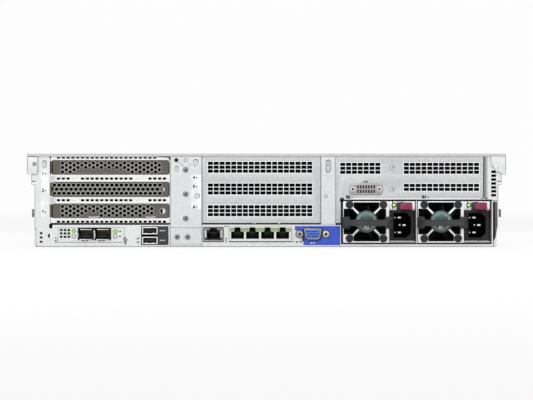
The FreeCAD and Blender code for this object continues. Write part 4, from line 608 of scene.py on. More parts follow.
def slot_covers():
    """The three slot covers: staggered round holes in the outer two, rounded slots in the middle one."""
    small = {(4, column) for column in range(2, 9)} | {(3, column) for column in range(2, 8)}
    cover_sheet("slot_cover_1", round_holes("slot_cover_1", set(), small))

    low, high = edges("slot_cover_2")
    middle = (low.z + high.z) / 2
    ovals = []
    for row, start, count in ((0, -198.3, 23), (1, -196.1, 22), (2, -198.3, 23)):
        up = middle + 3.85 * (1 - row)
        ovals += [pill(start + 4.48 * column, up, 3.75, 3.0) for column in range(count)]
    cover_sheet("slot_cover_2", ovals + [circle(-96.9, middle, 1.7, 20)])

    bare = {(3, 3), (3, 4), (4, 3), (4, 4), (4, 11)} | {(row, 12) for row in range(5)}
    low, high = edges("slot_cover_3")
    cover_sheet("slot_cover_3", round_holes("slot_cover_3", bare, set()) + [circle(-97.0, 33.6, 2.4, 24)])
    tabs, moons = Kit(), Kit()
    edge = 27.7
    for left, right in ((-166.4, -156.6), (-112.8, -103.4)):
        outline = [(left, edge + 0.9), (left + 0.5, edge + 0.9), (left + 1.1, edge + 0.5),
                   (right - 1.1, edge + 0.5), (right - 0.5, edge + 0.9), (right, edge + 0.9),
                   (right - 0.9, edge - 0.1), (left + 0.9, edge - 0.1)]
        tabs.plate([outline], low.y, low.y - 0.2, 0.05)
    # The tabs are drawn in the bright colour as a painted highlight on their folded edges.
    tabs.finish("slot_cover_tabs", "bright")
    for x, z, radius in ((-97.0, 33.6, 2.7), (-96.9, middle, 2.0)):
        moons.plate([half_circle(x, z, radius)], low.y + 1.4, low.y + 1.0, 0.05)
    moons.finish("slot_cover_flaps", "bright")


def half_circle(x, z, radius, steps=12):
    """The right half of a disc."""
    return [(x + radius * math.sin(math.pi * i / steps), z - radius * math.cos(math.pi * i / steps))
            for i in range(steps + 1)]


def sticker(name, left, low, right, high, front, marks):
    """A paper label with bold numerals, each with a small pointer to its right."""
    Kit().plate([rectangle(left, low, right, high, 0.5)], front, front - 0.12, 0.03).finish(name, "paper")
    ink = Kit()
    for words, x, z in marks:
        numeral(ink, words, x, z, front - 0.12)
    ink.finish(name + "_ink", "ink")


def numeral(ink, words, x, z, front, size=4.0, bold=0.2):
    """A bold number and its pointer."""
    ink.text(words, x, z, size, front, 0.06, bold=bold)
    ink.mark([pointer(x + size * (0.3 + 0.32 * len(words)), z, size * 0.26)], front)


def pointer(x, z, size, turn=0.0):
    """A small triangle that points right, before it is turned."""
    points = [(size, 0), (-size * 0.6, size * 0.8), (-size * 0.6, -size * 0.8)]
    angle = math.radians(turn)
    return [(x + u * math.cos(angle) - v * math.sin(angle), z + u * math.sin(angle) + v * math.cos(angle))
            for u, v in points]


def labels():
    """The two numbered stickers beside the card slots."""
    sticker("slot_label", -210.9, 26.4, -203.6, 72.0, PANEL,
            [("1", -208.9, 68.6), ("2", -208.9, 52.9), ("3", -208.9, 32.6)])
    pillar = edges("rear_pillars")[0].y
    ring = Kit().ring((-64.6, pillar - 0.1, 47.8), 2.5, 1.8, 0.12, bevel=0.03)
    ring.plate([half_circle(-64.4, 47.9, 1.0)], pillar - 0.1, pillar - 0.18, 0.01)
    ring.finish("riser_label_ring", "groove")
    sticker("riser_label", -70.4, 35.3, -60.8, 67.3, pillar,
            [("4", -67.8, 64.9), ("5", -67.8, 56.5), ("6", -67.8, 37.4)])


def embossing(kits, x, z, width, height, front, rise=0.35, rim=0.8):
    """A raised oval rim pressed out of a sheet, with a painted highlight on the rim and painted shade in its
    hollow, darkest under the top of the rim as if lit from above.
    """
    bright, groove, hollow = kits
    inner_width, inner_height = width - 2 * rim, height - 2 * rim
    # Painted highlight on the raised rim.
    bright.plate([pill(x, z, width, height), pill(x, z, inner_width, inner_height)],
                 front + 0.05, front - rise, rise * 0.45)
    # Painted shade over the hollow.
    hollow.plate([pill(x, z, inner_width, inner_height)], front + 0.05, front - 0.03, 0.01)
    # Darker painted shade along the top of the hollow, under the rim.
    shifted = [(u, v - 0.85) for u, v in pill(x, z, inner_width - 0.4, inner_height - 0.6)]
    groove.plate([pill(x, z, inner_width, inner_height), shifted], front + 0.05, front - 0.06, 0.01)


def rivet(kits, x, z, radius, front):
    """A flat rivet: a ring of painted shade round a paler middle, a painted highlight ring outside it, and
    painted shade over half the middle.
    """
    bright, groove, _ = kits
    groove.ring((x, front, z), radius, radius - 0.55, 0.08, bevel=0.02)
    bright.ring((x, front, z), radius + 0.5, radius, 0.2, bevel=0.08)
    groove.plate([half_circle(x, z, radius * 0.4)], front, front - 0.1, 0.02)


def pillar_details():
    """Pressed ovals, rivets, holes and edge lines on the two pillar strips, with painted shade in their
    outlines, rings and edge lines and a painted highlight beside the right pillar's left edge.
    """
    front = edges("rear_pillars")[0].y
    kits = bright, groove, hollow = Kit(), Kit(), Kit()
    embossing(kits, -83.8, 72.5, 6.2, 8.8, front)
    embossing(kits, -66.2, 78.4, 7.4, 9.8, front)
    embossing(kits, 57.7, 75.2, 7.8, 15.0, front)
    # Painted shade: a dark outline round the tall oval, and dark rings round the holes.
    groove.plate([rectangle(55.8, 70.2, 59.6, 77.6, 0.6), rectangle(56.3, 70.9, 59.1, 76.9, 0.4)], front,
                 front - 0.12, 0.03)
    for x, z, radius in ((57.7, 81.1, 1.7), (-75.4, 81.2, 1.9)):
        groove.ring((x, front, z), radius, radius - 0.5, 0.1, bevel=0.03)
    rivet(kits, -64.6, 47.7, 2.1, front)
    rivet(kits, 55.2, 47.4, 2.1, front)
    # Pressed lines, darkened as painted shade.
    for side in (-1, 1):
        points = [(-75.5 + side * 7.0, 79.8), (-75.5 + side * 1.6, 74.6)]
        groove.mark([stroke(points, 0.35)], front)
    # Painted shade: dark lines along the pillars' edges and along a seam across the left one.
    for x, floor in ((-89.75, 1.0), (-60.55, 1.0), (51.15, 22.0), (64.3, 22.0)):
        groove.bars(front, 0.04, (x - 0.22, floor, x + 0.22, 84.8))
    groove.bars(front, LINE, (-89.4, 17.9, -60.9, 18.3))
    # Painted highlight: a pale line just inside the right pillar's left edge.
    bright.bars(front, 0.06, (51.6, 22.4, 52.2, 84.6))
    bright.finish("pillar_embossing", "bright")
    hollow.finish("pillar_hollows", "vented")
    groove.finish("pillar_painted_shade", "groove", slot="zinc_sheet")
    holes = Kit().stud((-84.3, front, 81.2), 2.0, 0.06)
    holes.finish("pillar_hole", "black")


def stroke(points, width):
    """A straight line of some width between two points."""
    start, end = Vector(points[0]), Vector(points[1])
    along = (end - start).normalized() * width / 2
    across = Vector((-along.y, along.x))
    return [tuple(start - across), tuple(end - across), tuple(end + across), tuple(start + across)]


def panel_details():
    """Pressed marks on the flat sheets, the lines between them and the half hidden holes, with painted shade
    in the marks, along the silhouette and the bottom edge and in steps at the right end.
    """
    vents = edges("upper_vent_panel")[0].y
    kits = bright, groove, hollow = Kit(), Kit(), Kit()
    # Painted shade: dark rings and half discs for the two pressed marks on the vent panel.
    for z in (74.5, 54.0):
        groove.ring((117.5, vents, z), 2.5, 2.1, 0.08, bevel=0.02)
        groove.mark([half_circle(117.7, z + 0.2, 1.1)], vents)
    embossing(kits, -207.6, 77.2, 6.2, 9.0, PANEL, 0.25, 0.6)
    # Painted shade: dark lines along the stepped silhouette and the panel's lines, three steps of shade
    # lightening to the right beside the seam at the right end, and a darker bottom edge.
    lines = [(-196.0, 4.2, -132.6, 4.5), (-196.3, 4.2, -196.0, 9.6), (-219.6, 58.5, -219.2, 67.6),
             (-219.6, 58.3, -216.2, 58.8), (-216.6, 1.5, -216.2, 58.3), (219.2, 58.5, 219.6, 67.6),
             (216.2, 58.3, 219.6, 58.8), (215.9, 43.0, 216.3, 58.3)]
    groove.bars(PANEL, LINE, *lines, (203.5, 44.8, 204.8, 84.6), (-214.0, 0.15, 70.0, 0.7))
    hollow.bars(PANEL, LINE, (205.9, 44.8, 207.1, 84.6))
    bright.finish("panel_embossing", "bright")
    groove.finish("panel_painted_shade", "groove", slot="zinc_sheet")
    hollow.finish("panel_hollows", "vented")
    shadow = Kit().bars(PANEL, LINE, (204.8, 44.8, 205.9, 84.6), (70.0, 0.15, 214.0, 0.8))
    shadow.finish("panel_shaded_edges", "serial")
    seams()
    Kit().plate([half_circle(-202.3, 10.5, 2.1)], PANEL, PANEL - 0.08, 0.02).finish("corner_flap", "bright")


def seams():
    """Black bands painted as the shade in the gaps between the sheets, along the silhouette's steps, under
    the right tab and in the recess at the right end, and over the openings too narrow to see into.
    """
    # Painted shade: each band is a black line where a gap, a step or a tab's edge is in shadow.
    gaps = [(202.5, 46.8, 203.4, 84.6), (-201.2, 20.7, -90.4, 21.45), (-60.2, 20.95, 50.8, 21.9),
            (64.7, 20.6, 70.2, 21.5), (69.6, 2.65, 209.8, 3.65), (69.6, 43.45, 209.8, 44.35),
            (69.6, 3.3, 70.6, 21.5), (69.9, 21.5, 70.6, 43.5), (209.5, 3.3, 209.9, 43.5),
            (209.9, 43.2, 216.0, 43.7), (211.9, 0.9, 212.5, 7.4), (-216.5, 16.9, -215.2, 17.6),
            (-215.5, 1.0, -215.15, 16.9), (-215.5, 0.2, -214.4, 1.5), (-219.5, 60.9, -215.8, 61.7),
            (-219.6, 61.7, -219.3, 67.6), (215.8, 60.9, 219.5, 61.7), (219.3, 61.7, 219.6, 67.6)]
    kit = Kit().bars(PANEL, LINE, *gaps)
    divider = Kit().block((139.85, PANEL - 0.3, 3.4), (140.55, PANEL + 5.0, 43.4))
    divider.bars(PANEL, LINE, (70.9, 44.4, 209.5, 45.6))
    divider.finish("supply_divider", "bright")
    # The recess's end wall, drawn flat on the face in a dark colour as painted shade.
    wall = [(213.4, 8.0), (214.0, 8.0), (215.9, 20.0), (215.9, 42.2), (213.4, 42.2)]
    Kit().mark([wall], PANEL, LINE).finish("panel_end_wall", "slot", slot="zinc_sheet")
    corner = [(202.5, 46.8), (203.4, 46.8), (203.1, 45.7), (202.2, 44.9), (200.4, 44.7), (200.4, 45.3),
              (201.8, 45.5), (202.3, 46.1)]
    notch = [(-203.2, 21.2), (-199.8, 22.4), (-199.2, 21.2), (-201.2, 19.8), (-202.1, 17.4), (-203.0, 17.4)]
    moon = [(-404.6 - x, z) for x, z in half_circle(-202.3, 10.5, 2.1)]
    # Painted shade filling the recess at the right end.
    recess = [(211.9, 7.4), (212.2, 7.0), (213.4, 17.6), (213.4, 42.2), (211.9, 42.2)]
    for loop in (corner, notch, moon, recess):
        kit.mark([loop], PANEL)
    kit.ring((70.7, PANEL, 43.9), 2.2, 0.9, 0.06, bevel=0.01)
    kit.finish("panel_painted_gap_shade", "pit")


def cover_tabs():
    """The cover's two tabs at the rear corners, paler than its lip, outlined in painted shade, with a painted
    shadow under the left one's top edge and the rivet on the left one.
    """
    face = edges("top_cover")[0].y
    tabs, lines = Kit(), Kit()
    left = [(-223.2, 68.1), (-214.1, 68.1), (-214.1, 84.6), (-223.2, 84.6)]
    right = [(209.8, 78.2), (214.2, 71.0), (218.9, 69.2), (218.9, 67.9), (223.2, 67.9), (223.2, 84.6),
             (209.8, 84.6)]
    for outline in (left, right):
        tabs.mark([outline], face, 0.04)
        # Painted shade: a dark line along each edge of the tabs.
        for first, second in zip(outline, outline[1:] + outline[:1]):
            lines.mark([stroke((first, second), 0.35)], face, LINE)
    lines.ring((-216.8, face, 77.6), 1.9, 0.4, 0.06, bevel=0.01)
    tabs.finish("cover_tab_faces", "pale", "top_cover", "cover_sheet")
    Kit().bars(face, 0.06, (-222.8, 84.05, -213.8, 84.6)).finish("cover_tab_shadow", "pit", "top_cover")
    lines.finish("cover_tab_edges", "groove", "top_cover", "cover_sheet")


def screw_heads():
    """Pan-head screws in shaded recesses, each with a deep socket for a star driver."""
    pillar = edges("rear_pillars")[0].y
    places = [(-75.4, z, 2.05) for z in (72.0, 49.3, 26.6)] + [(-83.4, 9.3, 2.0), (-73.6, 9.3, 2.0)]
    heads, sockets, recesses = Kit(), Kit(), Kit()
    for x, z, radius in places:
        profile = [(radius * 0.56, 0.1), (radius * 0.56, 0.9), (radius * 0.72, 1.2), (radius * 0.86, 1.0),
                   (radius, 0.55), (radius, 0), (radius * 0.56, 0.1)]
        heads.lathe(profile, (x, pillar, z))
        recesses.ring((x, pillar, z), radius + 0.55, radius - 0.1, 0.16, bevel=0.04)
        sockets.stud((x, pillar, z), radius * 0.58, 0.3)
    cover = edges("serial_port_cover")[0].y
    posts = Kit()
    for x in (80.7, 105.5):
        posts.lathe([(1.2, 0.1), (1.2, 1.1), (1.6, 1.3), (2.1, 0.9), (2.2, 0), (1.2, 0.1)], (x, cover, 54.02))
        sockets.stud((x, cover, 54.02), 1.35, 0.25)
    posts.finish("serial_cover_posts", "bright", slot="steel_fastener")
    heads.finish("screw_heads", "fastener", replaces=["panel_screws"])
    sockets.finish("screw_sockets", "black")
    recesses.finish("screw_recesses", "carrier", slot="steel_fastener")


def vent_slots(left, low, columns, rows):
    """Slots in rows, from the left end and the middle height of the lowest one."""
    spots = [(left + 5.46 * column, low + 3.65 * row) for row in range(rows) for column in range(columns)]
    return [rectangle(x - 0.28, z - 1.54, x + 4.58, z + 1.54, 0.25, 2) for x, z in spots]


def bank_frame(slots):
    """The outline round a bank of slots."""
    points = [point for loop in slots for point in loop]
    across, up = zip(*points)
    return rectangle(min(across) - 0.7, min(up) - 0.6, max(across) + 0.7, max(up) + 0.6, 0.5)


def vented_sheet(node, outline, banks, others=()):
    """A blank panel with its banks of slots, their paler bars as a painted highlight, its flanges and a black
    backing behind them as painted shade.
    """
    low, high = edges(node)
    slots = [slot for bank in banks for slot in bank]
    kit = Kit().plate([outline, *slots, *others], low.y + SHEET, low.y, 0.1)
    floor = outline[2][1] if len(outline) > 4 else low.z
    for z in (floor, high.z - SHEET):
        kit.block((low.x, low.y + SHEET, z), (high.x, high.y, z + SHEET))
    kit.finish(node + "_sheet", "vented", replaces=[node])
    # Painted highlight: the bars between the slots, paler than the sheet they are cut from.
    bars = Kit()
    for bank in banks:
        bars.plate([bank_frame(bank), *bank], low.y, low.y - 0.03, 0.005)
    bars.finish(node + "_bars", "bright")
    # Painted shade: a black sheet behind the slots, where the dark inside shows through.
    shade_backing = Kit()
    shade_backing.block((low.x + 2.5, low.y + 5.0, floor + 2.5), (high.x - 2.5, low.y + 5.3, high.z - 2.5))
    shade_backing.finish(node + "_screen", "pit")


def vented_sheets():
    """The riser's blank panel and the panel over the supplies, with their banks of slots."""
    low, high = edges("riser_blank")
    banks = [vent_slots(low.x + 5.4, z - 3.45, 18, 3) for z in SLOT_ROWS]
    vented_sheet("riser_blank", rectangle(low.x, low.z, high.x, high.z), banks)
    low, high = edges("upper_vent_panel")
    floor, leg = 44.6, 5.0
    outline = [(low.x, low.z), (low.x + leg, low.z), (low.x + leg, floor), (high.x, floor), (high.x, high.z),
               (low.x, high.z)]
    banks = [vent_slots(low.x + 4.7, 69.9, 7, 3), vent_slots(low.x + 64.2, 69.9, 13, 3),
             vent_slots(low.x + 64.2, 53.9, 13, 2)]
    vented_sheet("upper_vent_panel", outline, banks, [rectangle(85.0, 50.5, 101.0, 57.5, 0.5)])


def supply_marks():
    """The supplies' numbers on the sheet above them."""
    vents = edges("upper_vent_panel")[0].y
    ink = Kit()
    for words, x in (("02", 76.3), ("01", 147.4)):
        numeral(ink, words, x, 46.5, vents, 3.9, 0.32)
    ink.text("0101", 92.9, 60.9, 2.3, vents, 0.06, bold=0.12)
    ink.finish("supply_number_ink", "ink")


def serial_cover():
    """The serial port's blanking cover: a plate with round corners and slots, and a black back behind its
    slots as painted shade.
    """
    low, high = edges("serial_port_cover")
    middle = (low.z + high.z) / 2
    loops = [rectangle(low.x, low.z, high.x, high.z, 3.2, 5)]
    for column in range(7):
        for z in (middle - 2.1, middle + 2.1):
            loops.append(centred(93.1 + 2.52 * (column - 3), z, 0.75, 1.5, 0.2, 2))
    sheet = Kit().plate(loops, high.y, low.y, 0.2)
    sheet.finish("serial_cover_sheet", "serial", replaces=["serial_port_cover"])
    # Painted shade: a black plate behind the slots.
    back = rectangle(low.x + 0.6, low.z + 0.6, high.x - 0.6, high.z - 0.6)
    Kit().plate([back], high.y, high.y - 0.15).finish("serial_cover_back", "black")


def network_card():
    """Status lights, small vents, the two optical cages' lips and springs, and the plate's marks."""
    face = edges("network_card_plate")[0].y
    lit, dull, rims, rings, ink = Kit(), Kit(), Kit(), Kit(), Kit()
    for x, z, kit in ((-180.0, 15.1, lit), (-141.4, 14.7, lit), (-180.0, 10.0, dull), (-141.4, 10.0, dull)):
        kit.stud((x, face, z), 1.25, 0.3)
        (rims if kit is dull else rings).ring((x, face, z), 2.1, 1.25, 0.35, bevel=0.1)
    lit.finish("link_lights", "link", slot="button_grey")
    rings.finish("link_rings", "green_bar")
    dull.finish("activity_lights", "paper", slot="button_grey")
    rims.finish("light_rims", "slot_rim", slot="button_grey")
    vents = Kit()
    for x in (-191.9, -188.3, -184.8):
        for z in (15.9, 12.7, 9.5):
            vents.plate([centred(x, z, 1.3, 1.1, 0.6)], face + 0.1, face - 0.04, 0.01)
    for z in (12.9, 8.9, 4.9):
        vents.plate([rectangle(-211.9, z - 1.05, -209.3, z + 1.05, 0.6)], PANEL + 0.1, PANEL - 0.04, 0.01)
    vents.finish("small_vents", "black")
    optical_cages(ink)
    for z in (14.7, 10.0):
        for left, right, up in ((-138.2, -137.5, 0.7), (-136.6, -135.9, 0.7), (-138.2, -135.9, 0.15)):
            ink.mark([rectangle(left, z - up, right, z + up)], face)
    for height, radius in ((8.3, 0.6), (6.0, 0.9), (4.0, 0.55)):
        ink.ring((-197.2, PANEL, height), radius, radius * 0.4, 0.06, bevel=0.01, steps=12)
    ink.finish("network_card_ink", "ink")


def optical_cages(ink):
    """The lips, springs and dark insides of the two optical cages, and the marks under them."""
    face = edges("network_card_plate")[0].y
    low, high = edges("sfp_cages")
    near, foot, top = low.y, low.z, high.z
    lips, springs, inside = Kit(), Kit(), Kit()
    for index in range(2):
        left = low.x + 0.8 + 15.7 * index
        right = left + 13.9
        lips.plate([rectangle(left - 0.8, foot, right + 0.8, top, 0.4),
                    rectangle(left + 0.1, foot + 0.9, right - 0.1, top - 0.9, 0.4)], near + 0.4, near, 0.15)
        springs.block((left + 0.8, near - 0.25, foot + 0.1), (right - 0.9, near + 1.2, foot + 0.95), 0.15)
        springs.block((left + 1.6, near - 0.25, top - 0.95), (right - 1.4, near + 1.2, top - 0.15), 0.15)
        springs.block((left - 0.6, near - 0.3, foot + 3.0), (left - 0.1, near + 4, foot + 6.0), 0.15)
        inside.block((left + 0.4, near + 9, foot + 1.2), (right - 0.4, near + 12, foot + 5.4), 0.5)
        inside.block((left + 4.4, near - 0.3, top - 0.2), (left + 7.4, near + 2, top + 0.2), 0.1)
        if index == 0:
            springs.block((right + 0.35, near - 0.3, foot + 0.9), (right + 1.35, near + 2, top - 1.6), 0.1)
        for start, end in ((2.8, 4.6), (5.0, 6.2), (6.8, 8.9)):
            ink.mark([rectangle(left + start, 5.3, left + end, 6.1)], face)
    lips.finish("optical_cage_lips", "bronze")
    springs.finish("optical_cage_springs", "shell")
    inside.finish("optical_cage_inside", "black")


def usb_ports():
    """Two flat sockets on a dark plate: folded shells with springs, and tongues with contacts."""
    low, high = edges("usb_stack")
    window = rectangle(low.x + 0.1, low.z + 0.1, high.x - 0.1, high.z - 0.1)
    label = Kit().plate([rectangle(-117.2, 1.9, -91.6, 19.4, 0.5), window], PANEL, PANEL - 0.35, 0.1)
    label.finish("usb_label_plate", "grey_plate", slot="dark_socket")
    shells, marks, contacts, tongues, cores = Kit(), Kit(), Kit(), Kit(), Kit()
    middle = -109.0
    near = low.y
    for z in (6.15, 15.25):
        shells.plate([centred(middle, z, 7.2, 3.35, 0.9), centred(middle, z, 6.35, 2.5, 0.5)],
                     near + 9, near - 0.2, 0.2)
        for x in (middle - 3.4, middle + 3.4):
            shells.block((x - 1, near + 1.0, z - 2.5), (x + 1, near + 3.5, z - 2.0), 0.15)
        # Painted shade: a black back wall and a black lining over each shell's inner walls stand for the
        # shade inside the socket.
        cores.block((middle - 7.1, near + 8.5, z - 3.2), (middle + 7.1, near + 9.5, z + 3.2), 0.1)
        cores.plate([centred(middle, z, 6.4, 2.55, 0.5), centred(middle, z, 6.15, 2.3, 0.4)],
                    near + 8.6, near + 0.3, 0.05)
        tongues.block((middle - 5.5, near + 1.4, z - 0.9), (middle + 5.5, near + 9, z + 0.9), 0.2)
        for step in range(4):
            x = middle - 3.75 + 2.5 * step
            contacts.block((x - 0.5, near + 1.8, z - 1.1), (x + 0.5, near + 8.5, z - 0.85), 0.05)
        for left, width in ((-99.6, 1.5), (-97.4, 0.7), (-96.0, 1.1)):
            marks.plate([rectangle(left, z - 0.55, left + width, z + 0.55, 0.15)],
                        PANEL - 0.35, PANEL - 0.4, 0.01)
    shells.finish("usb_shells", "bright", slot="socket_metal", replaces=["usb_stack"])
    cores.finish("usb_backs", "black", slot="dark_socket")
    tongues.finish("usb_tongues", "black", slot="dark_socket")
    contacts.finish("usb_contacts", "bronze")
    marks.finish("usb_marks", "pale_plastic")
    ink = Kit()
    trident(ink, -131.9, 6.2, PANEL)
    for z in (8.0, 4.4):
        ink.mark([rectangle(-121.2, z - 0.75, -118.9, z + 0.75, 0.3),
                  rectangle(-120.5, z - 0.3, -119.6, z + 0.3)], PANEL)
    ink.finish("usb_ink", "ink")


def trident(ink, x, z, front):
    """The common symbol for such ports."""
    stem = rectangle(x - 0.3, z - 3.2, x + 0.3, z + 2.6)
    loops = [stem, pointer(x, z + 2.9, 0.9, 90), circle(x, z - 3.3, 0.8)]
    for side, height in ((-1, 0.9), (1, 0.1)):
        far, near, rise = x + side * 1.7, x + side * 1.15, z + height
        loops.append([(x, rise - 1.7), (x, rise - 2.6), (far, rise - 0.9), (far, rise + 0.5),
                      (near, rise + 0.5), (near, rise - 0.5)])
        loops.append(circle(x + side * 1.4, rise + 0.8, 0.6))
    for loop in loops:
        ink.mark([loop], front)


def jack(kits, x, z, near, wide=12.0):
    """The inside of one network jack: dark walls, a roof and a comb of eight contacts."""
    backs, half = kits["backs"], wide / 2
    backs.block((x - half, near + 11.0, z), (x + half, near + 12.0, z + 9), 0.1)
    backs.block((x - half + 0.2, near + 5, z + 5.0), (x + half - 0.2, near + 11.4, z + 6.6), 0.3)
    walls = [jack_mouth(x, z, wide + 0.4), jack_mouth(x, z + 0.25, wide - 0.5)]
    backs.plate(walls, near + 11.0, near + 0.4, 0.1)
    tilt = Matrix.Rotation(math.radians(-24), 3, "X")
    for step in range(8):
        spot = x - 3.57 + 1.02 * step
        kits["contacts"].block((spot - 0.2, near + 5.6, z + 2.9), (spot + 0.2, near + 11.2, z + 3.2),
                               0.05, tilt)


def jack_mouth(x, floor, width=12.1, height=6.6, notch=5.4, rise=4.1):
    """A jack's mouth with its stepped notch for the plug's latch."""
    half, small = width / 2, notch / 2
    step = floor + height
    right = [(half, floor), (half, step), (small + 0.9, step), (small + 0.9, step + rise * 0.6),
             (small, step + rise * 0.6), (small, step + rise)]
    return [(x - half, floor)] + [(x + u, v) for u, v in right] + [(x - u, v) for u, v in right[:0:-1]]


def network_jacks():
    """The row of four network jacks, the single one beside it, and their marks."""
    near = edges("lan_jacks")[0].y
    first, pitch, floor = -27.1, 14.05, 7.6
    centres = [first + pitch * index for index in range(4)]
    kits = {name: Kit() for name in ("backs", "contacts", "bars", "lines", "shades")}
    shell = [rectangle(-34.9, 5.4, 23.5, 18.8, 0.5)] + [jack_mouth(x, floor) for x in centres]
    quad = Kit().plate(shell, near + 8, near, 0.2)
    quad.finish("quad_jack_shell", "pale", slot="socket_metal", replaces=["lan_jacks"])
    seam = [rectangle(-35.1, 4.75, 23.7, 19.0), rectangle(-34.85, 5.35, 23.45, 18.8)]
    kits["lines"].plate(seam, near, near - 0.1)
    starts = [-34.3] + [x + 2.9 for x in centres]
    ends = [x - 2.9 for x in centres] + [22.9]
    for left, right in zip(starts, ends):
        kits["bars"].block((left, near - 0.15, 14.45), (right, near + 1, 16.9), 0.12)
        # Painted shade: an olive strip along the top of each light bar, under the shell's edge.
        kits["shades"].block((left, near - 0.1, 16.9), (right, near + 1, 17.6), 0.05)
    for x in centres:
        jack(kits, x, floor, near)
    single_jack(kits, -49.6, 7.4, near)
    kits["bars"].finish("quad_jack_lights", "green_bar")
    kits["shades"].finish("quad_jack_light_painted_shade", "olive", slot="button_grey")
    kits["backs"].finish("jack_backs", "black", slot="dark_socket")
    kits["lines"].finish("jack_seams", "black")
    kits["contacts"].finish("jack_contacts", "bronze")
    ink = Kit()
    for index, x in enumerate(centres):
        ink.text(str(index + 1), x, 3.2, 1.8, PANEL, 0.06)
    marks = [(-38.4, z - 0.5, -37.2, z + 0.5, 0.1) for z in (4.6, 6.4, 8.2)]
    marks += [(-39.6, 18.9, -37.2, 19.7, 0.2), (-36.6, 18.9, -35.4, 19.7, 0.2)]
    marks += [(left, 4.2, right, 5.4, 0.1) for left, right in ((25.2, 26.0), (27.4, 29.6), (31.0, 33.0))]
    for mark in marks:
        ink.mark([rectangle(*mark)], PANEL)
    ink.finish("jack_ink", "ink")


def single_jack(kits, x, floor, near):
    """The jack that stands alone: its shell and seam, its masked face, two lights and two bright corners."""
    mouth = jack_mouth(x, floor, 12.0, 6.0, 6.0, 4.2)
    shell = Kit().plate([rectangle(x - 9.4, 5.4, x + 9.4, 18.3, 0.6), mouth], near + 8, near, 0.15)
    shell.finish("single_jack_shell", "serial", slot="socket_metal")
    seam = [rectangle(x - 9.7, 4.9, x + 9.7, 18.5, 0.7), rectangle(x - 9.2, 5.6, x + 9.2, 18.1, 0.5)]
    kits["lines"].plate(seam, near, near - 0.1)
    windows = [rectangle(left, 8.6, left + 1.5, 15.8, 0.3) for left in (x - 8.0, x + 6.5)]
    mask = [rectangle(x - 8.3, 6.6, x + 8.3, 17.9, 0.5), *windows, mouth]
    kits["backs"].plate(mask, near + 0.1, near - 0.15, 0.04)
    jack(kits, x, floor, near)
    lights, corners = Kit(), Kit()
    for side in (-1, 1):
        light, corner = x + side * 7.25, x + side * 5.6
        lights.block((light - 0.75, near - 0.1, 8.6), (light + 0.75, near + 1, 15.8), 0.2)
        corners.block((corner - 2.1, near - 0.25, 16.0), (corner + 2.1, near, 17.5), 0.1)
    lights.finish("single_jack_lights", "pale_plastic", slot="button_grey")
    corners.finish("single_jack_corners", "slot_rim", slot="socket_metal")


def d_shape(x, z, width, height, slant, radius=1.6):
    """The outline of a D-shaped shell: wider at the top, with round corners."""
    raw = [(x - width / 2 + slant, z - height / 2), (x + width / 2 - slant, z - height / 2),
           (x + width / 2, z + height / 2), (x - width / 2, z + height / 2)]
    points = []
    for index, corner in enumerate(raw):
        before, after = Vector(raw[index - 1]), Vector(raw[(index + 1) % 4])
        corner = Vector(corner)
        start = corner + (before - corner).normalized() * radius
        end = corner + (after - corner).normalized() * radius
        for step in range(5):
            t = step / 4
            points.append(tuple((1 - t) ** 2 * start + 2 * t * (1 - t) * corner + t ** 2 * end))
    return points


def video_port():
    """The blue plate, the plated shell with its core and fifteen contact holes, and two posts."""
    low = edges("vga_connector")[0]
    x, z = 43.3, 12.15
    plate = [(34.6, 1.9), (68.8, 1.9), (68.8, 19.6), (26.6, 19.6), (26.6, 15.6), (31.0, 15.6), (34.6, 12.0)]
    label = Kit().plate([plate, d_shape(x, z, 16.8, 9.6, 1.9)], PANEL, PANEL - 0.6, 0.15)
    label.finish("video_label_plate", "blue", slot="connector_blue", replaces=["vga_connector"])
    flange = [d_shape(x, z, 16.8, 10.0, 2.0, 2.4), d_shape(x, z, 15.5, 8.5, 1.8, 1.8)]
    collar = [d_shape(x, z, 16.2, 9.4, 1.9, 2.0), d_shape(x, z, 15.4, 8.4, 1.8, 1.6)]
    shell = Kit().plate(flange, PANEL - 0.5, PANEL - 1.3, 0.3).plate(collar, PANEL - 0.8, low.y + 0.6, 0.3)
    shell.finish("video_shell", "shell")
    seam = [d_shape(x, z, 19.0, 12.0, 2.0, 3.2), d_shape(x, z, 16.7, 9.9, 2.0, 2.4)]
    Kit().plate(seam, PANEL - 0.3, PANEL - 1.0, 0.05).finish("video_shell_seam", "black")
    core = [d_shape(x, z, 15.0, 7.9, 1.6)]
    for height, left in ((z + 2.2, x - 5.15), (z, x - 4.0), (z - 2.2, x - 5.15)):
        core += [circle(left + 2.3 * step, height, 0.72, 10) for step in range(5)]
    Kit().plate(core, PANEL - 0.8, PANEL - 4.4, 0.15).finish("video_core", "blue_core", slot="connector_blue")
    Kit().plate([d_shape(x, z, 16.0, 8.8, 1.8)], PANEL, PANEL - 1.2, 0.1).finish("video_core_back", "black")
    holes = Kit()
    for side, look in ((-1, "serial"), (1, "brass")):
        spot = (x + side * 12.3, PANEL - 0.5, z)
        post = Kit().ring(spot, 3.3, 1.3, 0.6, bevel=0.2)
        post.lathe([(1.3, 0.2), (1.3, 3.8), (1.9, 4.2), (2.75, 3.9), (2.75, 0.2), (1.3, 0.2)], spot, steps=6)
        post.finish("video_post_%s" % ("left" if side < 0 else "right"), look, slot="socket_metal")
        holes.stud(spot, 1.35, 0.5)
        # Painted shade: a black ring round the foot of each post.
        holes.ring(spot, 3.8, 3.25, 0.3, bevel=0.05)
    holes.finish("video_post_holes", "black")
    marks = Kit()
    for left in (x - 1.9, x + 0.5):
        marks.plate([rectangle(left, 3.2, left + 1.4, 4.3, 0.2)], PANEL - 0.6, PANEL - 0.66, 0.01)
    marks.finish("video_marks", "paper")


# Power supplies


FAN_CENTRE = (22.1, 20.1)
KNOB_OFFSET = 15.8
CORNERS = ((-1, -1), (-1, 1), (1, -1), (1, 1))


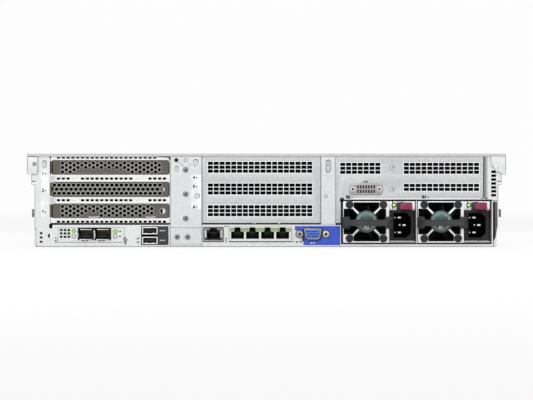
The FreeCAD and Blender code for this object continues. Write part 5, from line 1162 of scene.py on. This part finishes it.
def supply_face(number):
    """A supply's trim, laid out from the lower left corner of its face and then moved to its place."""
    body = "psu_%d" % number
    low = edges(body + "_case")[0]
    supply = (body, Vector((low.x, PANEL, low.z)))

    trim = Kit().plate([rectangle(0.3, 0.3, 43.3, 39.1, 0.6), fan_window(0.0)], 0.05, -0.7, 0.2)
    bracket = ((46.9, -1.0, 32.1, 50.1, 0.3), (43.6, -1.0, 32.1, 46.1, 0.3), (64.9, -0.8, 32.0, 67.4, 0.3),
               (57.0, -0.6, 37.7, 65.2, 0.2))
    for left, front, foot, right, bevel in bracket:
        trim.block((left, front, foot), (right, 0.1, 39.0), bevel)
    trim.fit(supply, "trim", "bright", "supply_case")
    Kit().block((43.3, -0.9, 0.5), (67.7, 0.1, 1.9), 0.15).fit(supply, "sill", "serial", "supply_case")
    # Painted shade: black lines for the shadowed gaps round the supply's face, beside the inlet and under the
    # bracket.
    gaps = ((0.1, -0.1, 0.02, 67.9, 0.3), (0.1, -0.1, 39.1, 67.9, 39.38), (67.3, -0.1, 0.3, 67.9, 39.1),
            (0.05, -0.1, 0.3, 0.3, 39.1), (43.4, -0.8, 2.0, 44.15, 31.0), (67.0, -1.25, 1.9, 67.9, 30.9),
            (46.1, -0.9, 32.1, 46.9, 39.0), (50.2, -0.15, 37.35, 66.0, 37.95))
    lines = Kit()
    for left, front, foot, right, top in gaps:
        lines.block((left, front, foot), (right, 0.05, top))
    lines.fit(supply, "edge_lines", "pit")

    supply_fan(supply)
    hub_label(supply, number)
    inlet_trim(supply)
    status_light(supply)
    strap(supply)
    release(supply)


def supply_fan(supply):
    """The cross-shaped guard over a supply's fan, the dark space behind it and the guard's four knobs."""
    fan_x, fan_z = FAN_CENTRE
    spokes = Kit()
    for turn in (45, -45):
        spokes.block((fan_x - 18.4, -0.9, fan_z - 0.85), (fan_x + 18.4, 0.4, fan_z + 0.85), 0.25, spin(turn))
    spokes.fit(supply, "spokes", "bright", "supply_case")

    # The fan's insides are black plastic, made darker still as painted shade in the fan's depth.
    shroud = Kit().plate([fan_window(-0.15), circle(fan_x, fan_z, 17.2, 48)], 2.35, 1.9, 0.1)
    shroud.plate([fan_window(-0.05), fan_window(-1.1, 6.4)], 0.05, -0.05, 0.02)
    shroud.ring((fan_x, 16.0, fan_z), 17.35, 17.05, 14.0, bevel=0.05, steps=48)
    shroud.stud((fan_x, 22.0, fan_z), 17.2, 1.0, steps=48)
    for step in range(5):
        shroud.block((fan_x - 8.4, 12.5, fan_z - 0.9), (fan_x + 8.4, 14.5, fan_z + 0.9), 0.2,
                     spin(20 + 72 * step))
    shroud.fit(supply, "fan_shroud", "pit")

    knobs, seats = Kit(), Kit()
    knob = [(0.01, 0), (3.5, 0), (3.5, 0.7), (3.1, 1.15), (1.4, 1.3), (1.1, 1.05), (0.01, 1.0)]
    for side_x, side_z in CORNERS:
        spot = (fan_x + side_x * KNOB_OFFSET, -0.7, fan_z + side_z * KNOB_OFFSET)
        knobs.lathe(knob, spot)
        # Painted shade: a dark ring round each knob's foot.
        seats.ring(spot, 3.8, 3.45, 0.1, bevel=0.02)
    knobs.fit(supply, "knobs", "knob", "black_plastic")
    seats.fit(supply, "knob_seats", "groove", "supply_case")


def spin(degrees):
    """A turn about the axis that points out of the rear face."""
    return Matrix.Rotation(math.radians(degrees), 3, "Y")


def hub_label(supply, number):
    """The round label on the guard's hub: its disc and rim, a darker band, a number and a scale."""
    fan_x, fan_z = FAN_CENTRE
    face = (fan_x, -0.9, fan_z)
    disc = Kit().lathe([(0.01, 0), (9.8, 0), (9.8, 0.5), (9.4, 0.75), (0.01, 0.85)], face, steps=48)
    band = [(fan_x - 9.2 * math.cos(math.pi * i / 24), fan_z - 0.8 - 8.5 * math.sin(math.pi * i / 24))
            for i in range(25)]
    Kit().mark([band], -1.7, 0.05).fit(supply, "hub_band", "teal_dark", "button_grey")
    disc.fit(supply, "hub_disc", "teal", "button_grey")
    rim = Kit().ring(face, 10.4, 9.75, 0.95, bevel=0.2, steps=48)
    rim.fit(supply, "hub_rim", "teal_rim", "button_grey")
    marks = Kit().text("0%d" % number, fan_x, fan_z - 5.4, 4.6, -1.76, 0.08, bold=0.1)
    for radius in (8.4, 7.4):
        marks.ring((fan_x, -1.76, fan_z), radius, radius - 0.22, 0.06, bevel=0.01, steps=48)
    marks.fit(supply, "hub_marks", "pale_plastic", "button_grey")
    scale = Kit()
    for step in range(9):
        left = fan_x - 6.6 + 1.55 * step
        scale.mark([rectangle(left, fan_z + 1.6, left + 0.7, fan_z + 4.6)], -1.74)
    scale.fit(supply, "hub_scale", "ink", "button_grey")


def fan_window(grow, pad=3.8):
    """The window in the fan's frame: a square whose corners are filled by the pads for its screws."""
    left, low, right, high = 0.8 - grow, 1.6 - grow, 40.5 + grow, 38.05 + grow
    reach = KNOB_OFFSET - pad
    near_x, far_x = FAN_CENTRE[0] - reach, FAN_CENTRE[0] + reach
    near_z, far_z = FAN_CENTRE[1] - reach, FAN_CENTRE[1] + reach
    cut = 1.6
    return [(near_x, low), (far_x, low), (far_x, near_z - cut), (far_x + cut, near_z), (right, near_z),
            (right, far_z), (far_x + cut, far_z), (far_x, far_z + cut), (far_x, high), (near_x, high),
            (near_x, far_z + cut), (near_x - cut, far_z), (left, far_z), (left, near_z),
            (near_x - cut, near_z), (near_x, near_z - cut)]


def inlet_outline(left, foot, cut, right, top):
    """The mains inlet's outline, whose two right corners are cut at 45 degrees from the given place."""
    rise = right - cut
    return [(left, foot), (cut, foot), (right, foot + rise), (right, top - rise), (cut, top), (left, top)]


def inlet_trim(supply):
    """The mains inlet: a dark panel with a lipped recess, its right corners cut back, and three blades."""
    mouth = inlet_outline(47.4, 4.9, 59.4, 63.8, 28.3)
    inner = inlet_outline(47.9, 5.4, 59.2, 63.3, 27.8)
    outer = inlet_outline(46.4, 3.9, 59.8, 64.8, 29.3)
    panel = Kit().plate([rectangle(43.4, 2.4, 67.4, 30.9, 1.2), mouth], 0.1, -0.6, 0.2)
    panel.plate([outer, mouth], -0.5, -1.0, 0.15)
    panel.fit(supply, "inlet_panel", "inlet", "black_plastic")
    # The recess and the seats behind the blades are near-black, darker than the panel's black plastic, as
    # painted shade inside the inlet.
    well = Kit().plate([mouth, inner], 15.2, -0.9, 0.15)
    well.plate([inner], 15.2, 12.4, 0.1)
    well.fit(supply, "inlet_well", "pit")
    blades, springs, seats = Kit(), Kit(), Kit()
    for left, z in ((47.9, 9.9), (47.9, 23.8), (52.4, 16.8)):
        blades.block((left + 3.5, 1.2, z - 0.7), (left + 6.4, 15.2, z + 0.7), 0.3)
        springs.block((left, 1.6, z - 0.6), (left + 1.6, 15.2, z + 0.6), 0.3)
        seats.block((left - 0.2, 8.0, z - 1.4), (left + 7.2, 13.0, z + 1.4), 0.3)
    blades.fit(supply, "inlet_blades", "bright", "steel_fastener")
    springs.fit(supply, "inlet_springs", "fastener")
    seats.fit(supply, "inlet_seats", "pit")


def status_light(supply):
    """The supply's status light, and the slots in the bracket beside it."""
    spot = (47.9, -1.0, 35.5)
    Kit().ring(spot, 2.4, 1.5, 0.6, bevel=0.15).fit(supply, "light_rim", "green_rim", "black_plastic")
    lens = [(0.01, 0), (1.5, 0), (1.4, 0.25), (0.9, 0.5), (0.01, 0.55)]
    Kit().lathe(lens, spot, steps=20).fit(supply, "light", "lime")
    core = [(0.01, 0), (0.8, 0), (0.7, 0.1), (0.01, 0.1)]
    Kit().lathe(core, (47.9, -1.5, 35.6), steps=16).fit(supply, "light_core", "lime_core", "button_grey")
    slots = Kit().block((53.2, -0.66, 37.2), (56.6, 0.1, 38.3), 0.2)
    slots.block((43.0, -0.72, 38.9), (43.9, 0.1, 39.3))
    slots.fit(supply, "bracket_slot", "black")


def strap(supply):
    """A nylon strap that arches out over the fan, wider at its two ends, with stitched-looking ribs."""
    start, span, reach, middle = 0.8, 46.0, 22.8, 19.0
    last = 40
    path = []
    for step in range(last + 1):
        edge = min(step / last, 1 - step / last) * 2
        path.append(Vector((start + step / last * span, reach * (1 - (1 - min(1, edge * 2.6)) ** 2.4))))
    part = bmesh.new()
    rings = []
    for index, centre in enumerate(path):
        along = (path[min(last, index + 1)] - path[max(0, index - 1)]).normalized()
        normal = Vector((-along.y, along.x))
        edge = min(index, last - index) / 4
        half = 2.95 + 2.4 * max(0, 1 - edge) ** 2
        ring = []
        for across, up in section(1.15, half):
            spot = centre + normal * across
            ring.append(part.verts.new((spot.x, -spot.y, middle + up)))
        rings.append(ring)
    for first, second in zip(rings, rings[1:]):
        count = len(first)
        for step in range(count):
            following = (step + 1) % count
            part.faces.new((first[step], first[following], second[following], second[step]))
    part.faces.new(rings[0][::-1])
    part.faces.new(rings[-1])
    bmesh.ops.recalc_face_normals(part, faces=part.faces)
    kit = Kit().take(part)
    for x, wide in ((start, 6.0), (start + span - 7.4, 7.4)):
        kit.block((x, -3.2, middle - 5.6), (x + wide, 0.0, middle + 5.6), 0.9)
        for step in range(3):
            rib = x + 1.2 + 1.5 * step
            kit.block((rib, -3.5, middle - 4.4), (rib + 0.6, -3.1, middle + 4.4), 0.15)
    kit.fit(supply, "strap", "nylon", "black_nylon", replaces=[supply[0] + "_handle"])


def section(thick, half):
    """A strap's section: flat, with a rounded rib along each edge."""
    thin, near, rib = thick * 0.6, half - 0.8, half - 0.5
    return [(-thin, -near), (-thick, -rib), (-thick, -half), (thick, -half), (thick, -rib), (thin, -near),
            (thin, near), (thick, rib), (thick, half), (-thick, half), (-thick, rib), (-thin, near)]


def release(supply):
    """The release latch: a ribbed touch point with a lip."""
    body, corner = supply
    node = body + "_latch"
    low, high = edges(node)
    low, high = low - corner, high - corner
    kit = Kit()
    kit.block((low.x, low.y + 2.4, low.z), (high.x, high.y, high.z - 1.9), 0.6)
    kit.block((low.x, low.y + 0.3, low.z), (high.x, low.y + 3.2, high.z), 1.0)
    for step in range(6):
        left = low.x + 0.9 + 1.6 * step
        kit.block((left, low.y + 0.05, low.z + 0.9), (left + 0.7, low.y + 0.5, high.z - 0.9), 0.2)
    kit.move(corner).finish(body + "_release", "maroon", node, replaces=[node])


def supply_insides():
    """What shows of each supply's case from behind and above: its edge connector and its vents."""
    for number in (1, 2):
        body = "psu_%d" % number
        low, high = edges(body + "_case")
        vents = Kit()
        for row in range(6):
            for column in range(16):
                spot = (low.x + 7.5 + 3.55 * column, high.y - 14 - 3.6 * row, high.z)
                vents.lathe([(0.01, 0), (1.25, 0), (1.25, 0.05), (0.01, 0.05)], spot, "Z", 10)
        vents.finish(body + "_vents", "black", body)
        socket = Kit()
        socket.block((low.x + 12, high.y - 0.2, low.z + 8), (low.x + 56, high.y + 0.9, low.z + 16), 0.2)
        socket.finish(body + "_socket", "black", body)


# Inside


def board_parts():
    """Chips, coils, capacitors and headers on the system board, placed by a fixed draw."""
    top = 5.3
    left, near, right, far = -200, -330, 200, 88
    chips, cans, coils, sockets = Kit(), Kit(), Kit(), Kit()
    # Left clear for the heat sinks, the cards, the rear sockets, the supplies and the riser
    clear = [(x - 50, -80, x + 50, 60) for x in (-103, 103)]
    clear += [(-206, -340, -88, -240), (-120, -340, 66, -318), (64, -340, 212, -140), (-96, -262, -76, -150)]
    placed = []

    def free(x, y, half):
        taken = any(a - half < x < c + half and b - half < y < d + half for a, b, c, d in clear)
        crowded = any(abs(x - u) < half + w and abs(y - v) < half + w for u, v, w in placed)
        return not taken and not crowded

    def spot(half):
        for _ in range(60):
            x = random.uniform(left, right)
            y = random.uniform(near, far)
            if free(x, y, half):
                placed.append((x, y, half))
                return x, y
        return None

    for size, tall, count in ((17, 2.6, 3), (9, 1.4, 16), (5, 1.1, 60), (2.4, 0.9, 160)):
        for _ in range(count):
            place = spot(size / 2 + 0.6)
            if place:
                x, y = place
                chips.block((x - size / 2, y - size / 2, top), (x + size / 2, y + size / 2, top + tall), 0.15)
    for _ in range(34):
        place = spot(3.4)
        if place:
            cans.lathe([(0.01, 0), (3.1, 0), (3.1, 0.6), (2.9, 0.8), (2.9, 6.4), (2.5, 7.0), (0.01, 7.0)],
                       (*place, top), "Z", 20)
    for side in (-1, 1):
        for step in range(6):
            x = side * 103 - 37 + 15 * step
            coils.block((x - 4.5, 68, top), (x + 4.5, 76, top + 6), 0.6)
    for x in (-40, -10, 20):
        sockets.block((x, -150, top), (x + 22, -142, top + 9), 0.4)
        sockets.block((x, 60, top), (x + 20, 68, top + 8), 0.4)
    chips.finish("board_chips", "chip", slot="black_plastic")
    cans.finish("board_capacitors", "fastener")
    coils.finish("board_coils", "carrier", slot="black_plastic")
    sockets.finish("board_headers", "pale_plastic", slot="black_plastic")


def memory_detail():
    """Black chips on both faces of each memory module, and the sockets' end latches."""
    low, high = edges("memory_modules")
    sockets_low, sockets_high = edges("memory_sockets")
    pitch, group, pair = 8.0, 132.4, 206.0
    chips, latches = Kit(), Kit()
    for face in (-1, 1):
        for step in range(9):
            y = low.y + 9 + 13.6 * step
            near = low.x + 0.65 + face * 0.65
            chips.block((near - 0.55, y, low.z + 8), (near + 0.55, y + 9.6, low.z + 22), 0.15)
    foot, top = sockets_high.z, sockets_high.z + 13
    for near, far in ((sockets_low.y + 0.4, low.y - 0.2), (high.y + 0.2, sockets_high.y - 0.4)):
        latches.block((low.x - 2.0, near, foot), (low.x + 3.3, far, top), 0.6)
    for kit, name, look, slot in ((chips, "memory_chips", "chip", "memory_green"),
                                  (latches, "memory_latches", "pale_plastic", "black_plastic")):
        kit.array(6, (pitch, 0, 0)).array(2, (group, 0, 0)).array(2, (pair, 0, 0))
        kit.finish(name, look, slot=slot)


def heat_sink_detail():
    """A spring screw at each corner of the heat sinks."""
    low, high = edges("cpu_heatsinks")
    kit = Kit()
    profile = [(0.01, 0), (3.0, 0), (3.0, 0.8), (1.8, 1.0), (1.8, 9), (2.6, 9.4), (2.6, 11), (0.01, 11)]
    for x in (-103, 103):
        for side_x, side_y in CORNERS:
            kit.lathe(profile, (x + side_x * 33, (low.y + high.y) / 2 + side_y * 46, low.z + 5.2), "Z", 16)
    kit.finish("heat_sink_screws", "fastener")


def fan_detail():
    """A finger grip, a ribbed and coloured touch point and a wire grille on each fan."""
    low, high = edges("fan_housings")
    grips, touch, grille = Kit(), Kit(), Kit()
    first, pitch = -175, 70
    for index in range(6):
        x = first + pitch * index
        touch.block((x - 16, low.y + 8, high.z), (x + 16, low.y + 22, high.z + 1.6), 0.7)
        for step in range(4):
            near = low.y + 10 + 3 * step
            touch.block((x - 13, near, high.z + 1.5), (x + 13, near + 1, high.z + 2.1), 0.2)
        grips.block((x - 22, high.y - 12, high.z), (x + 22, high.y - 4, high.z + 3.0), 0.9)
        for radius in (12, 18, 24):
            grille.lathe(wire(radius, 0.7), (x, high.y + 0.3, low.z + 33), steps=40)
    touch.finish("fan_touch_points", "maroon")
    grips.finish("fan_grips", "fan", slot="fan_plastic")
    grille.finish("fan_grilles", "fastener")


def wire(radius, thick, steps=8):
    """The closed section of a wire ring, for turning about an axis."""
    points = [(radius + thick * math.cos(2 * math.pi * i / steps), thick * math.sin(2 * math.pi * i / steps))
              for i in range(steps)]
    return points + points[:1]


# The cover and the front


def cover_detail():
    """Pressed ribs on the cover."""
    top = edges("top_cover")[1].z
    ribs = Kit()
    for x in (-150, 150):
        ribs.plate([pill(x, -60, 9, 330), pill(x, -60, 6.4, 327)], top - 0.1, top + 0.02, 0.02, "XY")
    ribs.finish("cover_ribs", "cover", "top_cover", "cover_sheet")


def front_drives():
    """Ribs on the drives' faces and levers, and their status lights."""
    for number in (1, 2):
        body = "drive_%d" % number
        low, high = edges(body + "_carrier")
        left, right = low.x, high.x
        kit = Kit()
        for step in range(7):
            z = low.z + 12 + 6.5 * step
            for start in (left + 0.3, right - 1.9):
                kit.block((start, FRONT - 0.1, z), (start + 1.6, FRONT + 0.5, z + 3.2), 0.2)
        kit.finish(body + "_face_ribs", "carrier", body)
        light = Kit().block((left + 2.6, FRONT - 0.1, 75.9), (left + 5.0, FRONT + 0.4, 77.6), 0.3)
        light.finish(body + "_light", "lime", body)
        low, high = edges(body + "_lever")
        lever = Kit()
        for step in range(9):
            z = low.z + 8 + 4.4 * step
            lever.block((left + 3.7, high.y - 0.2, z), (right - 3.7, high.y + 0.35, z + 2.2), 0.25)
        lever.finish(body + "_lever_ribs", "ear", body + "_lever", "carrier_grey")


def front_blanks():
    """Upright bars over the wide blanks."""
    low, high = edges("bay_blanks")
    ribs = Kit()
    for index in range(2):
        for column in range(19):
            x = low.x + index * 141.75 + 10.2 + 6.4 * column
            ribs.block((x, high.y - 2.0, low.z + 7), (x + 1.5, high.y - 0.4, high.z - 7), 0.2)
    ribs.finish("blank_bars", "carrier")


def ear_detail():
    """A ring round each button, ribs on the flaps, and the captive screws behind them."""
    low, high = edges("right_ear")
    rings, screws = Kit(), Kit()
    for z, radius in ((74.0, 4.4), (61.5, 2.6)):
        near, far = radius + 0.5, radius + 1.5
        profile = [(near, 0), (far, 0), (radius + 1.3, -0.5), (radius + 0.7, -0.5), (near, 0)]
        rings.lathe(profile, ((low.x + high.x) / 2, high.y, z), steps=36)
    rings.finish("button_rings", "cap", slot="button_grey")
    screw = [(0.01, 0), (3.2, 0), (3.2, -6.5), (2.6, -7.2), (0.01, -7.2)]
    for side, node in ((1, "left_ear"), (-1, "right_ear")):
        low, high = edges(node + "_latch")
        kit = Kit()
        for step in range(8):
            z = low.z + 24 + 2.4 * step
            kit.block((low.x + 3, high.y - 0.1, z), (high.x - 3, high.y + 0.5, z + 1.1), 0.2)
        kit.finish(node + "_flap_ribs", "ear", node + "_latch", "ear_plastic")
        screws.lathe(screw, (side * 232.55, FRONT + 2.0, 37.7), steps=24)
    screws.finish("captive_screws", "fastener")


def dress_nodes():
    """Gives each CAD node its finish, and softens its edges a little."""
    groups = {
        "pale": "base_pan rear_panel psu_cage network_card_plate psu_1_case psu_2_case",
        "zinc": "rear_pillars drive_cage fan_cage",
        "cover": "front_top_panel top_cover",
        "groove": "rail_studs",
        "board": "riser_board system_board drive_backplane",
        "memory": "memory_modules",
        "socket": "memory_sockets",
        "bronze": "sfp_cages",
        "sink": "cpu_heatsinks",
        "fan": "fan_housings psu_1_fan_rotor psu_2_fan_rotor",
        "carrier": "drive_blanks bay_blanks left_ear_latch right_ear_latch drive_1_carrier drive_2_carrier",
        "ear": "left_ear right_ear drive_1_lever drive_2_lever",
        "maroon": "cover_latch drive_1_button drive_2_button",
        "cap": "power_button uid_button",
        "inlet": "psu_1_inlet psu_2_inlet",
    }
    for look, nodes in groups.items():
        names = nodes.split()
        if look == "fan":
            names += ["fan_rotor_%d" % index for index in range(1, 7)]
        for node in names:
            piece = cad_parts[node]
            piece.data.materials.clear()
            piece.data.materials.append(LOOKS[look])
            soften = piece.modifiers.new("soften", "BEVEL")
            soften.width = 0.2 * MM
            soften.segments = 1
            soften.limit_method = "ANGLE"
            soften.angle_limit = math.radians(40)


# The studio


def studio():
    """An even grey light all round, seen as white by the camera and in reflections."""
    world = bpy.data.worlds.new("studio")
    bpy.context.scene.world = world
    world.use_nodes = True
    tree = world.node_tree
    tree.nodes.clear()
    seen = white_where_seen(tree)
    out = tree.nodes.new("ShaderNodeOutputWorld")
    mix = tree.nodes.new("ShaderNodeMixShader")
    lit = tree.nodes.new("ShaderNodeBackground")
    white = tree.nodes.new("ShaderNodeBackground")
    lit.inputs["Strength"].default_value = 0.72
    white.inputs["Color"].default_value = (0.985, 0.985, 0.985, 1)
    white.inputs["Strength"].default_value = 1.0
    tree.links.new(seen, mix.inputs["Fac"])
    tree.links.new(lit.outputs[0], mix.inputs[1])
    tree.links.new(white.outputs[0], mix.inputs[2])
    tree.links.new(mix.outputs[0], out.inputs["Surface"])


def white_where_seen(tree):
    """1 for rays from the camera, and for those in reflections and through glass."""
    path = tree.nodes.new("ShaderNodeLightPath")
    first = tree.nodes.new("ShaderNodeMath")
    second = tree.nodes.new("ShaderNodeMath")
    first.operation = second.operation = "MAXIMUM"
    tree.links.new(path.outputs["Is Camera Ray"], first.inputs[0])
    tree.links.new(path.outputs["Is Glossy Ray"], first.inputs[1])
    tree.links.new(first.outputs[0], second.inputs[0])
    tree.links.new(path.outputs["Is Transmission Ray"], second.inputs[1])
    return second.outputs[0]


def floor():
    """A pale floor that fades to white far away."""
    mesh = bpy.data.meshes.new("floor")
    half = 30.0
    corners = [(-half, -half, 0), (half, -half, 0), (half, half, 0), (-half, half, 0)]
    mesh.from_pydata(corners, [], [(0, 1, 2, 3)])
    plane = bpy.data.objects.new("floor", mesh)
    plane.location.z = -0.0005
    bpy.context.scene.collection.objects.link(plane)
    material = bpy.data.materials.new("floor_finish")
    material.use_nodes = True
    tree = material.node_tree
    tree.nodes.clear()
    out = tree.nodes.new("ShaderNodeOutputMaterial")
    matte = tree.nodes.new("ShaderNodeBsdfDiffuse")
    matte.inputs["Color"].default_value = (0.86, 0.86, 0.86, 1)
    pale = tree.nodes.new("ShaderNodeEmission")
    pale.inputs["Strength"].default_value = 1.0
    mix = tree.nodes.new("ShaderNodeMixShader")
    place = tree.nodes.new("ShaderNodeTexCoord")
    away = tree.nodes.new("ShaderNodeVectorMath")
    away.operation = "LENGTH"
    fade = tree.nodes.new("ShaderNodeMapRange")
    for name, number in (("From Min", 3.5), ("From Max", 14.0), ("To Min", 0.86), ("To Max", 0.962)):
        fade.inputs[name].default_value = number
    share = tree.nodes.new("ShaderNodeMath")
    share.operation = "MULTIPLY"
    tree.links.new(place.outputs["Object"], away.inputs[0])
    tree.links.new(away.outputs["Value"], fade.inputs["Value"])
    tree.links.new(white_where_seen(tree), share.inputs[0])
    tree.links.new(fade.outputs["Result"], share.inputs[1])
    tree.links.new(share.outputs[0], mix.inputs["Fac"])
    tree.links.new(matte.outputs[0], mix.inputs[1])
    tree.links.new(pale.outputs[0], mix.inputs[2])
    tree.links.new(mix.outputs[0], out.inputs["Surface"])
    mesh.materials.append(material)


def lamp(name, place, aim, size, watts, mirrored=True):
    """A square area light that points at a spot."""
    light = bpy.data.lights.new(name, "AREA")
    light.size = size
    light.energy = watts
    holder = bpy.data.objects.new(name, light)
    holder.location = place
    holder.rotation_euler = (Vector(aim) - Vector(place)).to_track_quat("-Z", "Y").to_euler()
    holder.visible_glossy = mirrored
    bpy.context.scene.collection.objects.link(holder)


def camera():
    """The photograph's view: square on to the rear, from far away."""
    pixels_per_mm = 1.07
    distance = 4.2
    lens = bpy.data.cameras.new("camera")
    lens.sensor_width = 36.0
    lens.lens = lens.sensor_width * distance * 1000 / (PHOTO[0] / pixels_per_mm)
    lens.clip_end = 100
    holder = bpy.data.objects.new("camera", lens)
    holder.location = (0.0, PANEL * MM - distance, (247.0 - PHOTO[1] / 2) / pixels_per_mm * MM)
    holder.rotation_euler = (math.pi / 2, 0, 0)
    bpy.context.scene.collection.objects.link(holder)
    bpy.context.scene.camera = holder


def main():
    riser_cage()
    slot_covers()
    labels()
    pillar_details()
    panel_details()
    cover_tabs()
    screw_heads()
    vented_sheets()
    supply_marks()
    serial_cover()
    network_card()
    usb_ports()
    network_jacks()
    video_port()
    for number in (1, 2):
        supply_face(number)
    supply_insides()
    board_parts()
    memory_detail()
    heat_sink_detail()
    fan_detail()
    cover_detail()
    front_drives()
    front_blanks()
    ear_detail()
    dress_nodes()
    studio()
    floor()
    lamp("key", (-0.9, -2.4, 1.5), (0, -0.3, 0.05), 1.6, 26)
    lamp("fill", (1.4, -1.8, 0.9), (0, -0.3, 0.05), 1.2, 9)
    lamp("top", (0.2, 0.4, 2.4), (0, 0, 0), 1.8, 20, mirrored=False)
    camera()
    bpy.context.scene.view_settings.view_transform = "Standard"


main()
